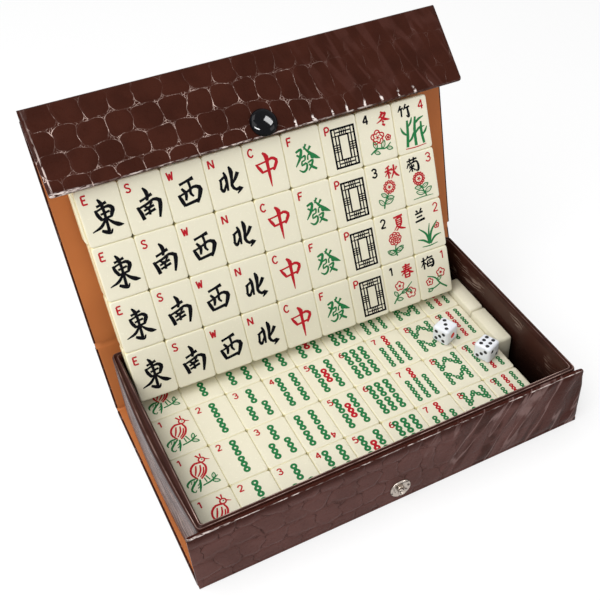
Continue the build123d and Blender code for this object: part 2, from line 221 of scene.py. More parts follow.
def leatherette(name, ground, line, strength, wander, row_height=(12.4, 19.0), first_row=0.0, thick=1.0, relief=1.0,
                hem=None, hem_run=None, fringe=0.0, painted_shade_band=None, sheen_streaks=(), quiet=None, left_line=0.0):
    """Crocodile grain pressed into a glossy coat, with painted light and shade in its colour.

    The hide is cut into rows, each row into scales: small round ones at the left, tall ones at
    the right, every other row set half a scale over, all bent by a slow noise. Inside a scale
    (p, q) run from -1 to 1 and d = (|p|^3.8 + |q|^3.8)^(1/3.8) is 1 on its rounded outline. The
    crease runs where d is one; beyond it, between the corners of four scales, the coat is crazed.

    ground: the coat's two tones. line: the colour painted along the creases and the crazing, a
    painted highlight where it is pale and painted shade where it is dark, shown more on the lit
    sides of a scale; strength: how far it shows at the left and right ends; thick: its width.
    wander: bend of the scales. first_row: the V that rows are counted from; row_height: their
    height at the left and right. hem: the V of a free edge, where the turned wrap crinkles under a
    painted highlight; hem_run: its half width, how much wider it is at the left end, and the X
    where it dies out; fringe: how far painted highlights brighten the creases and tick them towards
    the hem. painted_shade_band: the colour of painted shade in a band along the hem and towards the right end.
    streaks: painted sheen and shade along drag lines, each a tint, strength, the X it starts from,
    slant, coarseness and half width. quiet: the V of a fold that pulls the creases flat, where less
    is painted. left_line: how strongly a pale broken line, a painted highlight, shows along the
    board's left edge."""
    add, coat = new_material(name)
    uv = add("ShaderNodeUVMap", uv_map="hide")
    x, v, _ = uv.split()
    tall, broad, rightward = x.ramp(-12.0, 34.0), x.ramp(-70.0, 60.0), x.ramp(0.0, 52.0)
    bend_x, bend_v, _ = uv.noise(0.075, 2.0, "Color").split()
    rows = (bend_v * (5.0 * wander) + v + tall.span(-1.3 - first_row, 3.5 - first_row)) / tall.span(*row_height)
    row = rows.floor()
    shift = add("ShaderNodeTexWhiteNoise", {"W": row}, "Value", noise_dimensions="1D")
    cols = (bend_x * (8.0 * wander) + x) * broad.span(1 / 13.4, 1 / 10.4) + shift * 0.35 + row * 0.5
    cell = add("ShaderNodeCombineXYZ", {0: row, 1: cols.floor()})
    odd = add("ShaderNodeTexWhiteNoise", {"Vector": cell}, "Value", noise_dimensions="2D")
    p, q = cols.fract() * 2.0 - 1.0, rows.fract() * 2.0 - 1.0
    e = odd * 0.03 + 0.985 - (abs(p) ** 3.8 + abs(q) ** 3.8) ** (1 / 3.8)      # the way in from the outline
    # the crease colour is painted along the scale outlines and the crazing: a painted highlight where pale, painted
    # shade where dark
    crease = e.near(0.0, 0.007 * thick, 0.026 * thick)
    crack = add("ShaderNodeTexVoronoi", {"Vector": uv, "Scale": 0.62, "Randomness": 1.0}, "Distance",
                feature="DISTANCE_TO_EDGE", voronoi_dimensions="2D")
    crazed = crack.ramp(0.02, 0.10, 1.0, 0.0) * e.ramp(-0.07, -0.015, 0.8, 0.0)
    side_line = abs(p) * (odd * 0.35 + 0.75)
    # painted light: the crease colour shows more on a scale's sides and one end, where the relief would catch the light
    lit = side_line.ramp(0.55, 0.95).peak(q.ramp(-0.98, -0.55, 0.55, 0.12))
    # breaks the painted crease lines up in patches
    broken_up = uv.noise(0.17, 3.0).ramp(0.42, 0.60, 0.10, 1.0) * uv.noise(1.3, 2.0).ramp(0.36, 0.56, 0.25, 1.0)
    shown = (crease * lit).peak(crazed) * broken_up
    # how far the painted crease colour shows, fading from left to right
    amount = rightward.span(*strength)
    if fringe:
        amount = amount.peak(v.near(hem, 2.0, 9.0, fringe) * x.ramp(60.0, 100.0, 1.0, 0.35))
    if quiet is not None:
        amount = amount * v.near(quiet, 3.0, 14.0, 0.12, 1.0)
    base = uv.noise(0.05, 3.0).ramp(0.35, 0.65).mix(*ground)
    # painted shade: a darker band along the hem, and darker towards the right end
    if painted_shade_band:
        band = (uv.noise(0.12) * 3.0 + abs(v - hem)).ramp(3.2, 8.0, 1.0, 0.0)
        base = band.peak(x.ramp(62.0, 112.0, 0.0, 0.85)).mix(base, painted_shade_band)
    # painted sheen and shade along drag lines of the hide
    for tint, much, start, slant, coarse, wide in sheen_streaks:
        run = add("ShaderNodeVectorRotate", {"Vector": uv, "Angle": slant}, rotation_type="Z_AXIS")
        drag = run.stretch(1.0, 0.14, 1.0).noise(coarse, 2.0).near(0.5, 0.25 * wide, wide)
        drag = drag * x.ramp(start, start + 50.0, 0.0, much)
        base = (drag * uv.noise(0.07, 2.0).ramp(0.38, 0.55, 0.2, 1.0)).mix(base, tint)
    colour = (shown * amount).mix(base, line)
    high = e.ramp(-0.06, 0.30, 0.0, 1.0, "SMOOTHERSTEP") * rightward.span(0.40, 0.16) + uv.noise(0.9, 4.0) * 0.08
    high = high + uv.stretch(1.0, 0.22, 1.0).noise(0.13, 1.0) * rightward.span(0.4, 0.9)
    # painted highlight: a pale crinkled line along the free edge, wider at the left end
    if hem is not None:
        half, wider, end = hem_run
        far_left = x.ramp(-112.0, -84.0, 1.0, 0.0)
        near = (abs(v - hem) / (far_left * wider + half)).ramp(0.35, 1.0, 1.0, 0.0)
        pleat = uv.stretch(0.35, 1.5, 1.0).noise(0.9, 3.0)
        gap = uv.noise(0.06, 2.0).ramp(0.40, 0.56, 0.10, 1.0) * x.ramp(end - 50.0, end, 1.0, 0.08)
        glint = near * pleat.ramp(0.40, 0.56) * gap.peak(far_left)
        colour = (glint * 0.85).mix(colour, (0.72, 0.62, 0.58, 1))
        high = high + near * pleat * 0.8
    # painted highlights: pale ticks where the creases reach the hem
    if fringe:
        tick = abs(p).ramp(0.80, 0.93) * v.near(hem - 1.8, 0.6, 2.6) * uv.noise(0.5, 2.0).ramp(0.42, 0.56)
        tick = tick * x.ramp(-8.0, 12.0) * x.ramp(84.0, 100.0, 0.9, 0.0)
        colour = tick.mix(colour, (0.85, 0.76, 0.72, 1))
    # painted highlight: a pale broken line along the board's left edge
    if left_line:
        scuffs_and_glints = x.near(LEFT + 1.9, 0.15, 0.6) * uv.stretch(1.6, 0.3, 1.0).noise(0.9, 3.0).ramp(0.38, 0.55)
        colour = (scuffs_and_glints * v.ramp(6.0, 34.0, 0.10, left_line)).mix(colour, (0.62, 0.50, 0.46, 1))
    rough = uv.noise(0.3, 3.0).ramp(0.3, 0.7, 0.24, 0.36)
    return coat(colour, rough, 0.05, (high, 0.5 * relief, 0.0008))


COVER = ((0.031, 0.0078, 0.0043, 1), (0.041, 0.0106, 0.0060, 1))
# pale crease colour: a painted highlight on the raised creases
CREASE_HIGHLIGHT = (0.78, 0.58, 0.51, 1)
hide_plain = leatherette("crocodile leatherette, plain", COVER, CREASE_HIGHLIGHT, (0.45, 0.10), 1.4, (12.4, 12.4))


def board_piece(name, at, grid, mat, body, node, warp=None):
    """Makes a piece of a slab's points and hide. at gives the (Y, Z) that the slab's own Y starts
    from and its slope in degrees, up being the lined side; warp moves the points before that."""
    (y_at, z_at), slope = at
    x, y, z = np.moveaxis(warp(grid[0]) if warp else grid[0], -1, 0)
    c, s = np.cos(np.radians(slope)), np.sin(np.radians(slope))
    verts = np.stack([x, y_at + y * c - z * s, z_at + y * s + z * c], -1)
    new_piece(name, verts, tube_faces(*x.shape), [mat], body, [node], grid[1], turn=True)


def wrapped_board(name, at, x1, y0, y1, body, node, mat, free, v_at, swell=None, warp=None):
    """Board with the hide round it; free says for y0 and y1 whether that edge is free or at a fold."""
    rolls, corners = ([pair[0] if f else pair[1] for f in free] for pair in ((0.75, 0.10), (1.4, 0.25)))
    grid = slab(LEFT, x1, y0, y1, -HALF, HALF - LINING, rolls, corners, 130, 30, swell, v_at)
    board_piece(name, at, grid, mat, body, node, warp)


wrapped_board("bottom_board", AT_BOTTOM, BASE_RIGHT, HALF, BOTTOM_L - HALF - FOLD_GAP, "base", "bottom_cover",
              hide_plain, (False, False), HIDE_BOTTOM)

# ---- front board ----------------------------------------------------------------------
# The same wrapped board, standing up and glued to the front of the tray. Its hide is
# stretched less evenly, so it shows faint scales at the left and loose waves at the right, both
# drawn in painted shade and painted highlights on a ground lightened as painted sheen.
RIM_Z = 43.0              # top of the front board and of the tray
FRONT_H = RIM_Z - 2 * HALF
AT_FRONT = ((FRONT_Y + HALF, RIM_Z), -90)
HIDE_FRONT = -357.1
# front: a ground lighter than the cover's, painted sheen; dark scale lines, painted shade; a top band and the right end
# in painted shade; a painted highlight along the top edge; painted sheen and shade along the waves
hide_front = leatherette("crocodile leatherette, front", ((0.074, 0.031, 0.026, 1), (0.094, 0.040, 0.034, 1)),
                         (0.034, 0.0095, 0.0062, 1), (2.2, 0.5), 2.0, first_row=HIDE_FRONT, thick=2.0, relief=1.2,
                         hem=HIDE_FRONT + 0.4, hem_run=(0.36, 0.5, 140.0), painted_shade_band=(0.036, 0.0075, 0.0042, 1),
                         sheen_streaks=[((0.034, 0.0105, 0.0070, 1), 0.9, 5.0, -0.42, 0.070, 0.09),
                                  ((0.205, 0.128, 0.118, 1), 0.62, -8.0, -0.5, 0.085, 0.024)])


def front_waves(x, y):
    """Drag waves that lean to the right, growing towards the right end, 17 mm apart."""
    grow = np.clip((x + 5) / 100, 0, 1)
    lean_run = x / 2.7 + y / 5.6 + 0.9 * np.sin(y / 9 + x / 14) + 0.5 * np.sin(x / 23)
    return hide_ripple(0.04, 5)(x, y) + 0.30 * grow * (1 + np.sin(lean_run))


def worn_end(p):
    """Draws the board's right end in, in an uneven line, and beats its top corner down by a millimetre."""
    x, y = p[..., 0], p[..., 1]
    k = np.clip((x - BASE_RIGHT + 9) / 9, 0, 1) ** 2
    pull = 1.3 - 0.8 * np.clip(y / FRONT_H, 0, 1) + 0.45 * np.sin(y / 3.4 + 0.4)
    drop = 1.0 * np.clip(1 - y / 14, 0, 1)
    return p + np.stack([-k * pull, k * drop, np.zeros_like(x)], -1)


wrapped_board("front_board", AT_FRONT, BASE_RIGHT, 0, FRONT_H, "base", "front_cover",
              hide_front, (True, False), HIDE_FRONT, front_waves, worn_end)

# ---- folds of the cover ---------------------------------------------------------------
# Between two boards the leatherette and the lining run on alone. Outside, the hide turns
# round the fold in one smooth roll; inside, the lining is pressed into a groove.
FOLD_A, FOLD_B, FOLD_C = (66.25, 1.3), (80.32, 41.933), (109.733, 172.767)   # spine's, lid's and flap's fold
SPINE_AT, LID_AT, FLAP_AT = 70.9, 77.33, 221.93       # slopes of the boards that follow them
HIDE_SPINE, HIDE_LID = -180.53, -137.38
SPINE_RIGHT = RIGHT - 1.3
FLAP_SLACK = 4.273        # boards stop this far from the flap's fold
add, coat = new_material("tan lining")
place = add("ShaderNodeTexCoord", out="Object")
pebble = add("ShaderNodeTexVoronoi", {"Vector": place, "Scale": 1900.0}, "Distance")
tan_lining = coat(place.noise(14.0, 3.0).ramp(0.3, 0.7).mix((0.37, 0.116, 0.034, 1), (0.46, 0.152, 0.045, 1)),
                  0.42, 0.12, (place.noise(60.0) * 0.8 + pebble * 0.06, 0.35, 0.0008))


def fold_roll(name, fold, a, b, reach, bodies, nodes, x1, mat, v_at, square=0.0):
    """Solid roll along a fold between boards of slopes a and b, which end reach away from it.

    Outside, an arc of the boards' half thickness about the fold line, flush with both boards and
    tucked under them; inside, a parabola from one lined face to the other's. v_at is the hide's V
    at the fold on the board after it; square fills the arc out."""
    a, b = np.radians(a), np.radians(b)
    along = lambda t: np.stack([np.cos(t), np.sin(t)], -1)
    out = lambda t: np.stack([np.sin(t), -np.cos(t)], -1)       # outer side of a board of slope t
    tuck, turn = 0.3, np.linspace(a, b, 15)
    steps = np.array([reach + tuck, reach, reach - 0.15])
    depth = np.array([HALF - 0.12, HALF, HALF])
    full = HALF * (1 + square * np.sin(np.pi * (turn - a) / (b - a)))
    outer = np.concatenate([np.outer(depth, out(a)) - np.outer(steps, along(a)), out(turn) * full[:, None],
                            (np.outer(depth, out(b)) + np.outer(steps, along(b)))[::-1]])
    v = np.concatenate([HALF * (a - b) - steps, HALF * (turn - b), steps[::-1]])
    start = -out(a) * (HALF - 0.02) - along(a) * (reach + tuck)
    end = -out(b) * (HALF - 0.02) + along(b) * (reach + tuck)
    s = np.linspace(0, 1, 11)[:, None]
    inner = (1 - s) ** 2 * end + 2 * s * (1 - s) * (start + end) / 2 * 0.55 + s ** 2 * start
    loop = np.concatenate([outer, inner]) + fold
    v = np.concatenate([v, np.full(len(inner), v[-1])]) + v_at
    x = np.linspace(LEFT + 0.3, x1 - 0.3, 60)
    x, y, z, v = np.broadcast_arrays(x[:, None], loop[:, 0], loop[:, 1], v)
    lined = np.arange(len(loop)) >= len(outer) - 1
    obj = new_piece(name, np.stack([x, y, z], -1), tube_faces(*x.shape), [mat, tan_lining], hide=np.stack([x, v], -1),
                    slots=[*np.tile(lined, len(x) - 1), 0, 0], turn=True)
    if bodies[0] == bodies[1]:
        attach(obj, bodies[0])
    else:
        ends = [(0.0, *((fold + side) * MM)) for side in (-FOLD_GAP * along(a), FOLD_GAP * along(b))]
        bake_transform(obj)
    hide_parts(*nodes)


# flap: pale creases, the hem line, its ticks and the left edge line are painted highlights; the streak at the right is
# a painted sheen
hide_flap = leatherette("crocodile leatherette, flap", COVER, CREASE_HIGHLIGHT, (1.0, 0.10), 1.0, hem=43.3,
                        hem_run=(0.6, 1.3, 84.0), fringe=0.9, quiet=0.0, left_line=0.9,
                        sheen_streaks=[((0.062, 0.0215, 0.016, 1), 0.6, 5.0, 0.35, 0.075, 0.06)])
fold_roll("front_fold", AT_BOTTOM[0], -90, 0, HALF, ("base", "base"), ["front_bend"], BASE_RIGHT, hide_front,
          HIDE_BOTTOM, square=0.3)
fold_roll("spine_fold_roll", FOLD_A, 0, SPINE_AT, FOLD_GAP, ("base", "spine"), ["lower_bend"], BASE_RIGHT,
          hide_plain, HIDE_SPINE)
fold_roll("lid_fold_roll", FOLD_B, SPINE_AT, LID_AT, FOLD_GAP, ("spine", "lid"), ["upper_bend"], SPINE_RIGHT,
          hide_plain, HIDE_LID)
fold_roll("flap_fold_roll", FOLD_C, LID_AT, FLAP_AT, FLAP_SLACK, ("lid", "flap"),
          ["flap_bend", "lid_web", "flap_web"], RIGHT, hide_flap, 0.0)

# ---- spine, lid and flap boards -------------------------------------------------------
# Three more wrapped boards. The lid and flap carry painted highlights on their raised creases,
# more at the left, where the scales are small and round.
LID_L, FLAP_L = 134.1, 43.6
wrapped_board("spine_board", (FOLD_A, SPINE_AT), SPINE_RIGHT, FOLD_GAP, RIM_Z - FOLD_GAP, "spine", "spine_cover",
              hide_plain, (False, False), HIDE_SPINE, hide_ripple(0.10, 2))
wrapped_board("lid_board", (FOLD_B, LID_AT), RIGHT, FOLD_GAP, LID_L - FLAP_SLACK, "lid", "lid_cover",
              hide_plain, (False, False), HIDE_LID, hide_ripple(0.12, 3))
wrapped_board("flap_board", (FOLD_C, FLAP_AT), RIGHT, FLAP_SLACK, FLAP_L, "flap", "flap_cover",
              hide_flap, (False, True), 0.0, hide_ripple(0.10, 4))

# ---- linings --------------------------------------------------------------------------
# Tan coated sheet pasted over the turned edges on the inside of every board, a hair short
# of the edge, and pressed down along the folds.
for board, at, x1, y0, y1, body, warp in (
        ("bottom", AT_BOTTOM, BASE_RIGHT, HALF, BOTTOM_L - HALF - FOLD_GAP, "base", None),
        ("front", AT_FRONT, BASE_RIGHT, 1.0, FRONT_H, "base", worn_end),
        ("spine", (FOLD_A, SPINE_AT), SPINE_RIGHT, FOLD_GAP, RIM_Z - FOLD_GAP, "spine", None),
        ("lid", (FOLD_B, LID_AT), RIGHT, FOLD_GAP, LID_L - FLAP_SLACK, "lid", None),
        ("flap", (FOLD_C, FLAP_AT), RIGHT, FLAP_SLACK, FLAP_L - 1.0, "flap", None)):
    sheet = slab(LEFT + 1.0, x1 - 1.0, y0, y1, HALF - LINING - 0.02, HALF, (0.18, 0.18), (0.6, 0.6), 60, 16)
    board_piece(f"lining_of_{board}", at, sheet, tan_lining, body, f"{board}_lining", warp)

# ---- tray -----------------------------------------------------------------------------
# Open tray of card, wrapped inside and out in the same leatherette, with a turned rim that
# shows its two edges. The wrap stands off the left wall and is badly wrinkled there, and
# the tiles that lean over the rear wall push its rim back.
TRAY_X0, TRAY_X1, TRAY_Y0, REAR_Y, WALL = -111.45, 108.7, -63.65, 61.65, 3.0
IN_X0, REAR_PUSH = -106.55, 3.69
UNDER, BED = 2.6, 3.4     # underside of the tray and top of its floor


def wrinkled_hide(name, ground, grey, tan, tan_from, gloss, deep, ridged):
    """Hide with drag wrinkles along the wall, each a line where a stretched noise crosses a half.

    grey and tan are (colour, strength) of a painted sheen on the wrinkles and of pale lines along
    them, which start at the heights tan_from. On a ridged wall the grey sheen is in ridges too and
    the tan, painted glints, nearly all over; otherwise the grey is a painted sheen that only lightens
    the top and the tan, light scratches, comes and goes. deep is the strength of the relief."""
    add, coat = new_material(name)
    uv = add("ShaderNodeUVMap", uv_map="hide")
    x, v, _ = uv.split()
    lines = add("ShaderNodeCombineXYZ", {0: x * 0.06, 1: uv.noise(0.02, 2.0) * 26.0 + (x * 0.07 + v)})
    ridge = lambda scale, half: lines.noise(scale, 3.0).near(0.5, 0.2 * half, half)
    # painted sheen: pale ridges, or a lightening towards the top
    painted_sheen = ridge(0.24, 0.085) if ridged else v.ramp(112.0, 140.0)
    # pale lines along the wrinkles: painted glints on a ridged wall, light scratches otherwise
    scuffs_and_glints = ridge(0.34, 0.032) * v.ramp(*tan_from) * uv.noise(0.035, 2.0).ramp(0.50, 0.58, 0.7 if ridged else 0.0, 1.0)
    colour = (scuffs_and_glints * tan[1]).mix((painted_sheen * grey[1]).mix(ground, grey[0]), tan[0])
    return coat(colour, gloss, 0.07, (lines.noise(0.9, 4.0) * 0.5 + lines.noise(0.3, 3.0), deep, 0.0016))


# inside the tray: a ground far darker than the cover's, painted shade; grey, a painted sheen that lightens the top;
# tan, light scratches near the top
hide_inside = wrinkled_hide("leatherette, inside the tray", (0.010, 0.0040, 0.0028, 1),
                            ((0.050, 0.0185, 0.0130, 1), 0.95), ((0.22, 0.150, 0.12, 1), 0.7), (116.0, 130.0),
                            0.26, 0.10, False)
# outside the tray: grey and tan lines along the wrinkles are painted sheen and painted glints
hide_outside = wrinkled_hide("leatherette, wrinkled sides", (0.046, 0.0235, 0.0200, 1),
                             ((0.158, 0.118, 0.119, 1), 0.80), ((0.36, 0.240, 0.195, 1), 0.75), (0.0, 1.0),
                             0.34, 0.75, True)

# the turned rim: brown, with a thin pale line that comes and goes along each of its two ridges,
# part rubbed wear and part painted highlight, strongest at the front; V is the height plus a hundred
# times the way across, 22 and 78 at the ridges
add, coat = new_material("leatherette, rim")
uv = add("ShaderNodeUVMap", uv_map="hide")
across = uv.split()[1]
on = across.near(RIM_Z + 22, 2.0, 7.0).peak(across.near(RIM_Z + 78, 2.0, 7.0))
rub_and_glint = uv.stretch(1.0, 0.02, 1.0).noise(0.09, 3.0).ramp(0.38, 0.60, 0.30, 1.0)
rub_and_glint = rub_and_glint * add("ShaderNodeTexCoord", out="Object").split()[1].ramp(-0.058, -0.045, 1.0, 0.3)
brown = uv.noise(0.05, 3.0).ramp(0.35, 0.65).mix((0.030, 0.0095, 0.0068, 1), (0.044, 0.0140, 0.0098, 1))
hide_rim = coat((on * rub_and_glint).mix(brown, (0.46, 0.32, 0.275, 1)), 0.26, 0.09)


def rounded_ring(x0, x1, y0, y1, r):
    """Rounded rectangle, always the same number of points, anticlockwise from its left side's front end."""
    q = np.radians(np.linspace(0, 90, 9))
    arcs = [np.stack([cx + r * np.cos(t + q), cy + r * np.sin(t + q)], -1)
            for cx, cy, t in ((x0 + r, y0 + r, np.pi), (x1 - r, y0 + r, 1.5 * np.pi),
                              (x1 - r, y1 - r, 0), (x0 + r, y1 - r, 0.5 * np.pi))]
    out = []
    for k, n in enumerate((80, 50, 80, 50)):
        out += [arcs[k], np.linspace(arcs[k][-1], arcs[(k + 1) % 4][0], n + 2)[1:-1]]
    return np.concatenate(out)


# the wall's section from outside to inside, as (way across from 0 to 1, height)
outer = rounded_ring(TRAY_X0, TRAY_X1, TRAY_Y0, REAR_Y + WALL, 2.6)
inner = rounded_ring(IN_X0, TRAY_X1 - WALL, TRAY_Y0 + WALL, REAR_Y, 1.8)
SIDE_ROWS = 16            # points up each side, below the rim
side = np.linspace(UNDER, 41.3, SIDE_ROWS)
rim = [(0.03, 42.2), (0.11, 42.8), (0.22, 43.0), (0.35, 42.7), (0.44, 41.9), (0.56, 41.9), (0.65, 42.7), (0.78, 43.0),
       (0.89, 42.8), (0.97, 42.2)]
t = np.concatenate([np.zeros(SIDE_ROWS), [p[0] for p in rim], np.ones(SIDE_ROWS)])[:, None]
z = np.concatenate([side, [p[1] for p in rim], side[::-1]])[:, None]
x, y = np.moveaxis(outer * (1 - t[..., None]) + inner * t[..., None], -1, 0)
rise = (z - UNDER) / (RIM_Z - UNDER)
bow = np.sin(np.pi * np.clip((y + 62) / 128, 0, 1))
on_left = np.clip((-106.9 - x) / 3.5, 0, 1) * (t < 0.9)
x = x + on_left * (1 - t) * ((1.3 - 3.0 * bow) * rise + (0.2 - 2.1 * bow) * (1 - rise))
y = y + REAR_PUSH * rise * np.clip((y - TRAY_Y0) / (REAR_Y - TRAY_Y0), 0, 1)
run = np.concatenate([[0], np.cumsum(np.hypot(*np.diff(outer, axis=0).T))])
pucker = ((t < 0.1) * np.clip((42 - z) / 5, 0, 1) * hide_ripple(0.7, 23)(run * 0.3, z * 2.2)
          - (t > 0.95) * np.clip((42 - z) / 6, 0, 1) * hide_ripple(0.35, 29)(run * 0.6, z * 1.4) * 0.6)
x = x + np.where(np.abs(x) > 104, np.sign(x), 0) * (np.abs(y) < 58) * pucker * 0.6
x, y, z, run, across = np.broadcast_arrays(x, y, z, run, z + 100 * t)
rings, around = x.shape
row = np.arange(rings - 1)[:, None]
# outside, the left wall's hide and the plain one, then the rim's, then the one inside
skin_of = np.where(row < SIDE_ROWS - 2, np.where(outer[:, 0] < -105, 1, 3), np.where(row > rings - SIDE_ROWS, 0, 2))
last = (rings - 1) * around + np.arange(around)
underside = np.stack([last, np.roll(last, -1), np.roll(last, -1) % around, last % around], -1).tolist()
new_piece("tray_shell", np.stack([x, y, z], -1), tube_faces(rings, around, False) + underside,
          [hide_inside, hide_outside, hide_rim, hide_plain], "base",
          ["tray_wall_front", "tray_wall_back", "tray_wall_left", "tray_wall_right"], np.stack([run, across], -1),
          [*skin_of.ravel(), *[0] * around], turn=True)
bed = slab(IN_X0, TRAY_X1 - WALL, TRAY_Y0 + WALL, REAR_Y, UNDER, BED, (0.2, 0.2), (0.5, 0.5), 40, 20)
board_piece("tray_bed", ((0, 0), 0), bed, hide_inside, "base", "tray_floor")

# ---- tiles ----------------------------------------------------------------------------
# Cast resin tiles, tumbled until every edge is round and polished on the face. They stand
# in two layers in the tray and in a wall two tiles thick that leans on the lid.
TILE_W, TILE_L, TILE_T, GAP = 22.0, 30.0, 9.0, 0.1
ROWS_X0, ROWS_Y0, WALL_Y0, TOP_Z = -104.75, -60.25, 57.139, 21.4
lean, yaw = np.radians(69.44), np.radians(-0.9)
wall_x = np.array([np.cos(yaw), np.sin(yaw), 0])
wall_y = np.array([-np.sin(yaw) * np.cos(lean), np.cos(yaw) * np.cos(lean), np.sin(lean)])
# a stack's corner, and its axes as rows: across, up the columns, and through the layers
FLAT = (np.array([ROWS_X0, ROWS_Y0, BED]), np.eye(3))
LEANING = (np.array([ROWS_X0 - 0.15, WALL_Y0, TOP_Z]), np.array([wall_x, wall_y, np.cross(wall_x, wall_y)]))


def rounded_block(w, l, t, corner=1.6, r=0.6):
    """Points and faces of a block: rings along the face's outline, whose corners are rounded.

    Round the edge a ring is drawn in by r (1 - sin a) while it sinks by r (1 - cos a)."""
    inset, z = np.array([(2.2 * r, t / 2), (r, t / 2), (0.293 * r, t / 2 - 0.293 * r), (0, t / 2 - r), (0, r - t / 2),
                         (r, -t / 2)]).T[..., None]
    c = np.maximum(corner - inset, 0.3)
    a = np.radians(np.add.outer([0, 90, 180, 270], [0, 45, 90]).ravel())
    x = np.repeat([1, -1, -1, 1], 3) * (w / 2 - inset - c) + c * np.cos(a)
    y = np.repeat([1, 1, -1, -1], 3) * (l / 2 - inset - c) + c * np.sin(a)
    verts = np.stack(np.broadcast_arrays(x, y, z), -1).reshape(-1, 3)
    quads = [face[:1] + face[:0:-1] for face in tube_faces(len(z), len(a), False)]
    top = np.arange(len(a))
    return verts, quads + [top.tolist(), (len(verts) - 1 - top).tolist()]


def mark_points(obj, name, values):
    """Keeps one number per vertex for the material to read."""
    obj.data.attributes.new(name, "FLOAT", "POINT").data.foreach_set("value", np.asarray(values, np.float32))


# polished cast resin: ivory, with faint cloudiness and scuffs; lighter and yellower down in the
# seams, painted light bounced off the tan lining
add, coat = new_material("ivory resin")
place = add("ShaderNodeTexCoord", out="Object")
cloudy = place.noise(45.0, 3.0).mix((0.658, 0.6204, 0.4841, 1), (0.70, 0.66, 0.515, 1))
# painted bounce light: the sides and seams turn lighter and yellower
seam = add("ShaderNodeAttribute", out="Fac", attribute_name="rim")
ivory = coat(seam.mix(cloudy, (0.93, 0.86, 0.52, 1)), place.noise(900.0).span(0.18, 0.32),
             relief=(place.noise(130.0, 1.0), 0.12, 0.0006))
block_v, block_f = rounded_block(TILE_W, TILE_L, TILE_T)
# how far a point lies down in the seam between faces: nought on top, one below the rounded edge
block_rim = np.clip((TILE_T / 2 - block_v[:, 2] - 0.1) / 0.8, 0, 1)
settle = np.random.default_rng(144)


def tile_set(name, cells, stack, layer, node, shift=0.0):
    """Tiles at (column, row) cells of a layer, with the small looseness each has among its neighbours."""
    corner, axes = stack
    verts = []
    for col, row in cells:
        turn = settle.uniform(-1, 1) * 0.0012
        askew = np.array([[np.cos(turn), np.sin(turn), 0], [-np.sin(turn), np.cos(turn), 0], [0, 0, 1]])
        loose = settle.uniform(-1, 1, 3) * [0.025, 0.03, 0.0]
        centre = np.array([(col + 0.5) * (TILE_W + GAP) - GAP / 2 - shift, (row + 0.5) * (TILE_L + GAP) - GAP / 2,
                           (layer + 0.5) * TILE_T])
        verts.append(corner + (block_v @ askew + centre + loose) @ axes)
    faces = [[q + n * len(block_v) for q in face] for n in range(len(cells)) for face in block_f]
    mark_points(new_piece(name, verts, faces, [ivory], "base", [node]), "rim", np.tile(block_rim, len(cells)))


for r in range(4):
    across = [(c, r) for c in range(9)]
    tile_set(f"hidden_layer_{r + 1}", across, FLAT, 0, f"lower_row_{r + 1}")
    tile_set(f"wall_backs_{r + 1}", across, LEANING, 0, f"back_row_{r + 1}", shift=0.9 if r == 3 else 0.0)
for c, column in enumerate(("winds_east", "winds_south", "winds_west", "winds_north", "dragons_red", "dragons_green",
                            "dragons_white", "seasons", "plants")):
    upward = [(c, r) for r in range(4)]
    tile_set(f"bamboo_tiles_{c + 1}", upward, FLAT, 1, f"bamboo_{c + 1}")
    tile_set(f"{column}_tiles", upward, LEANING, 1, column)

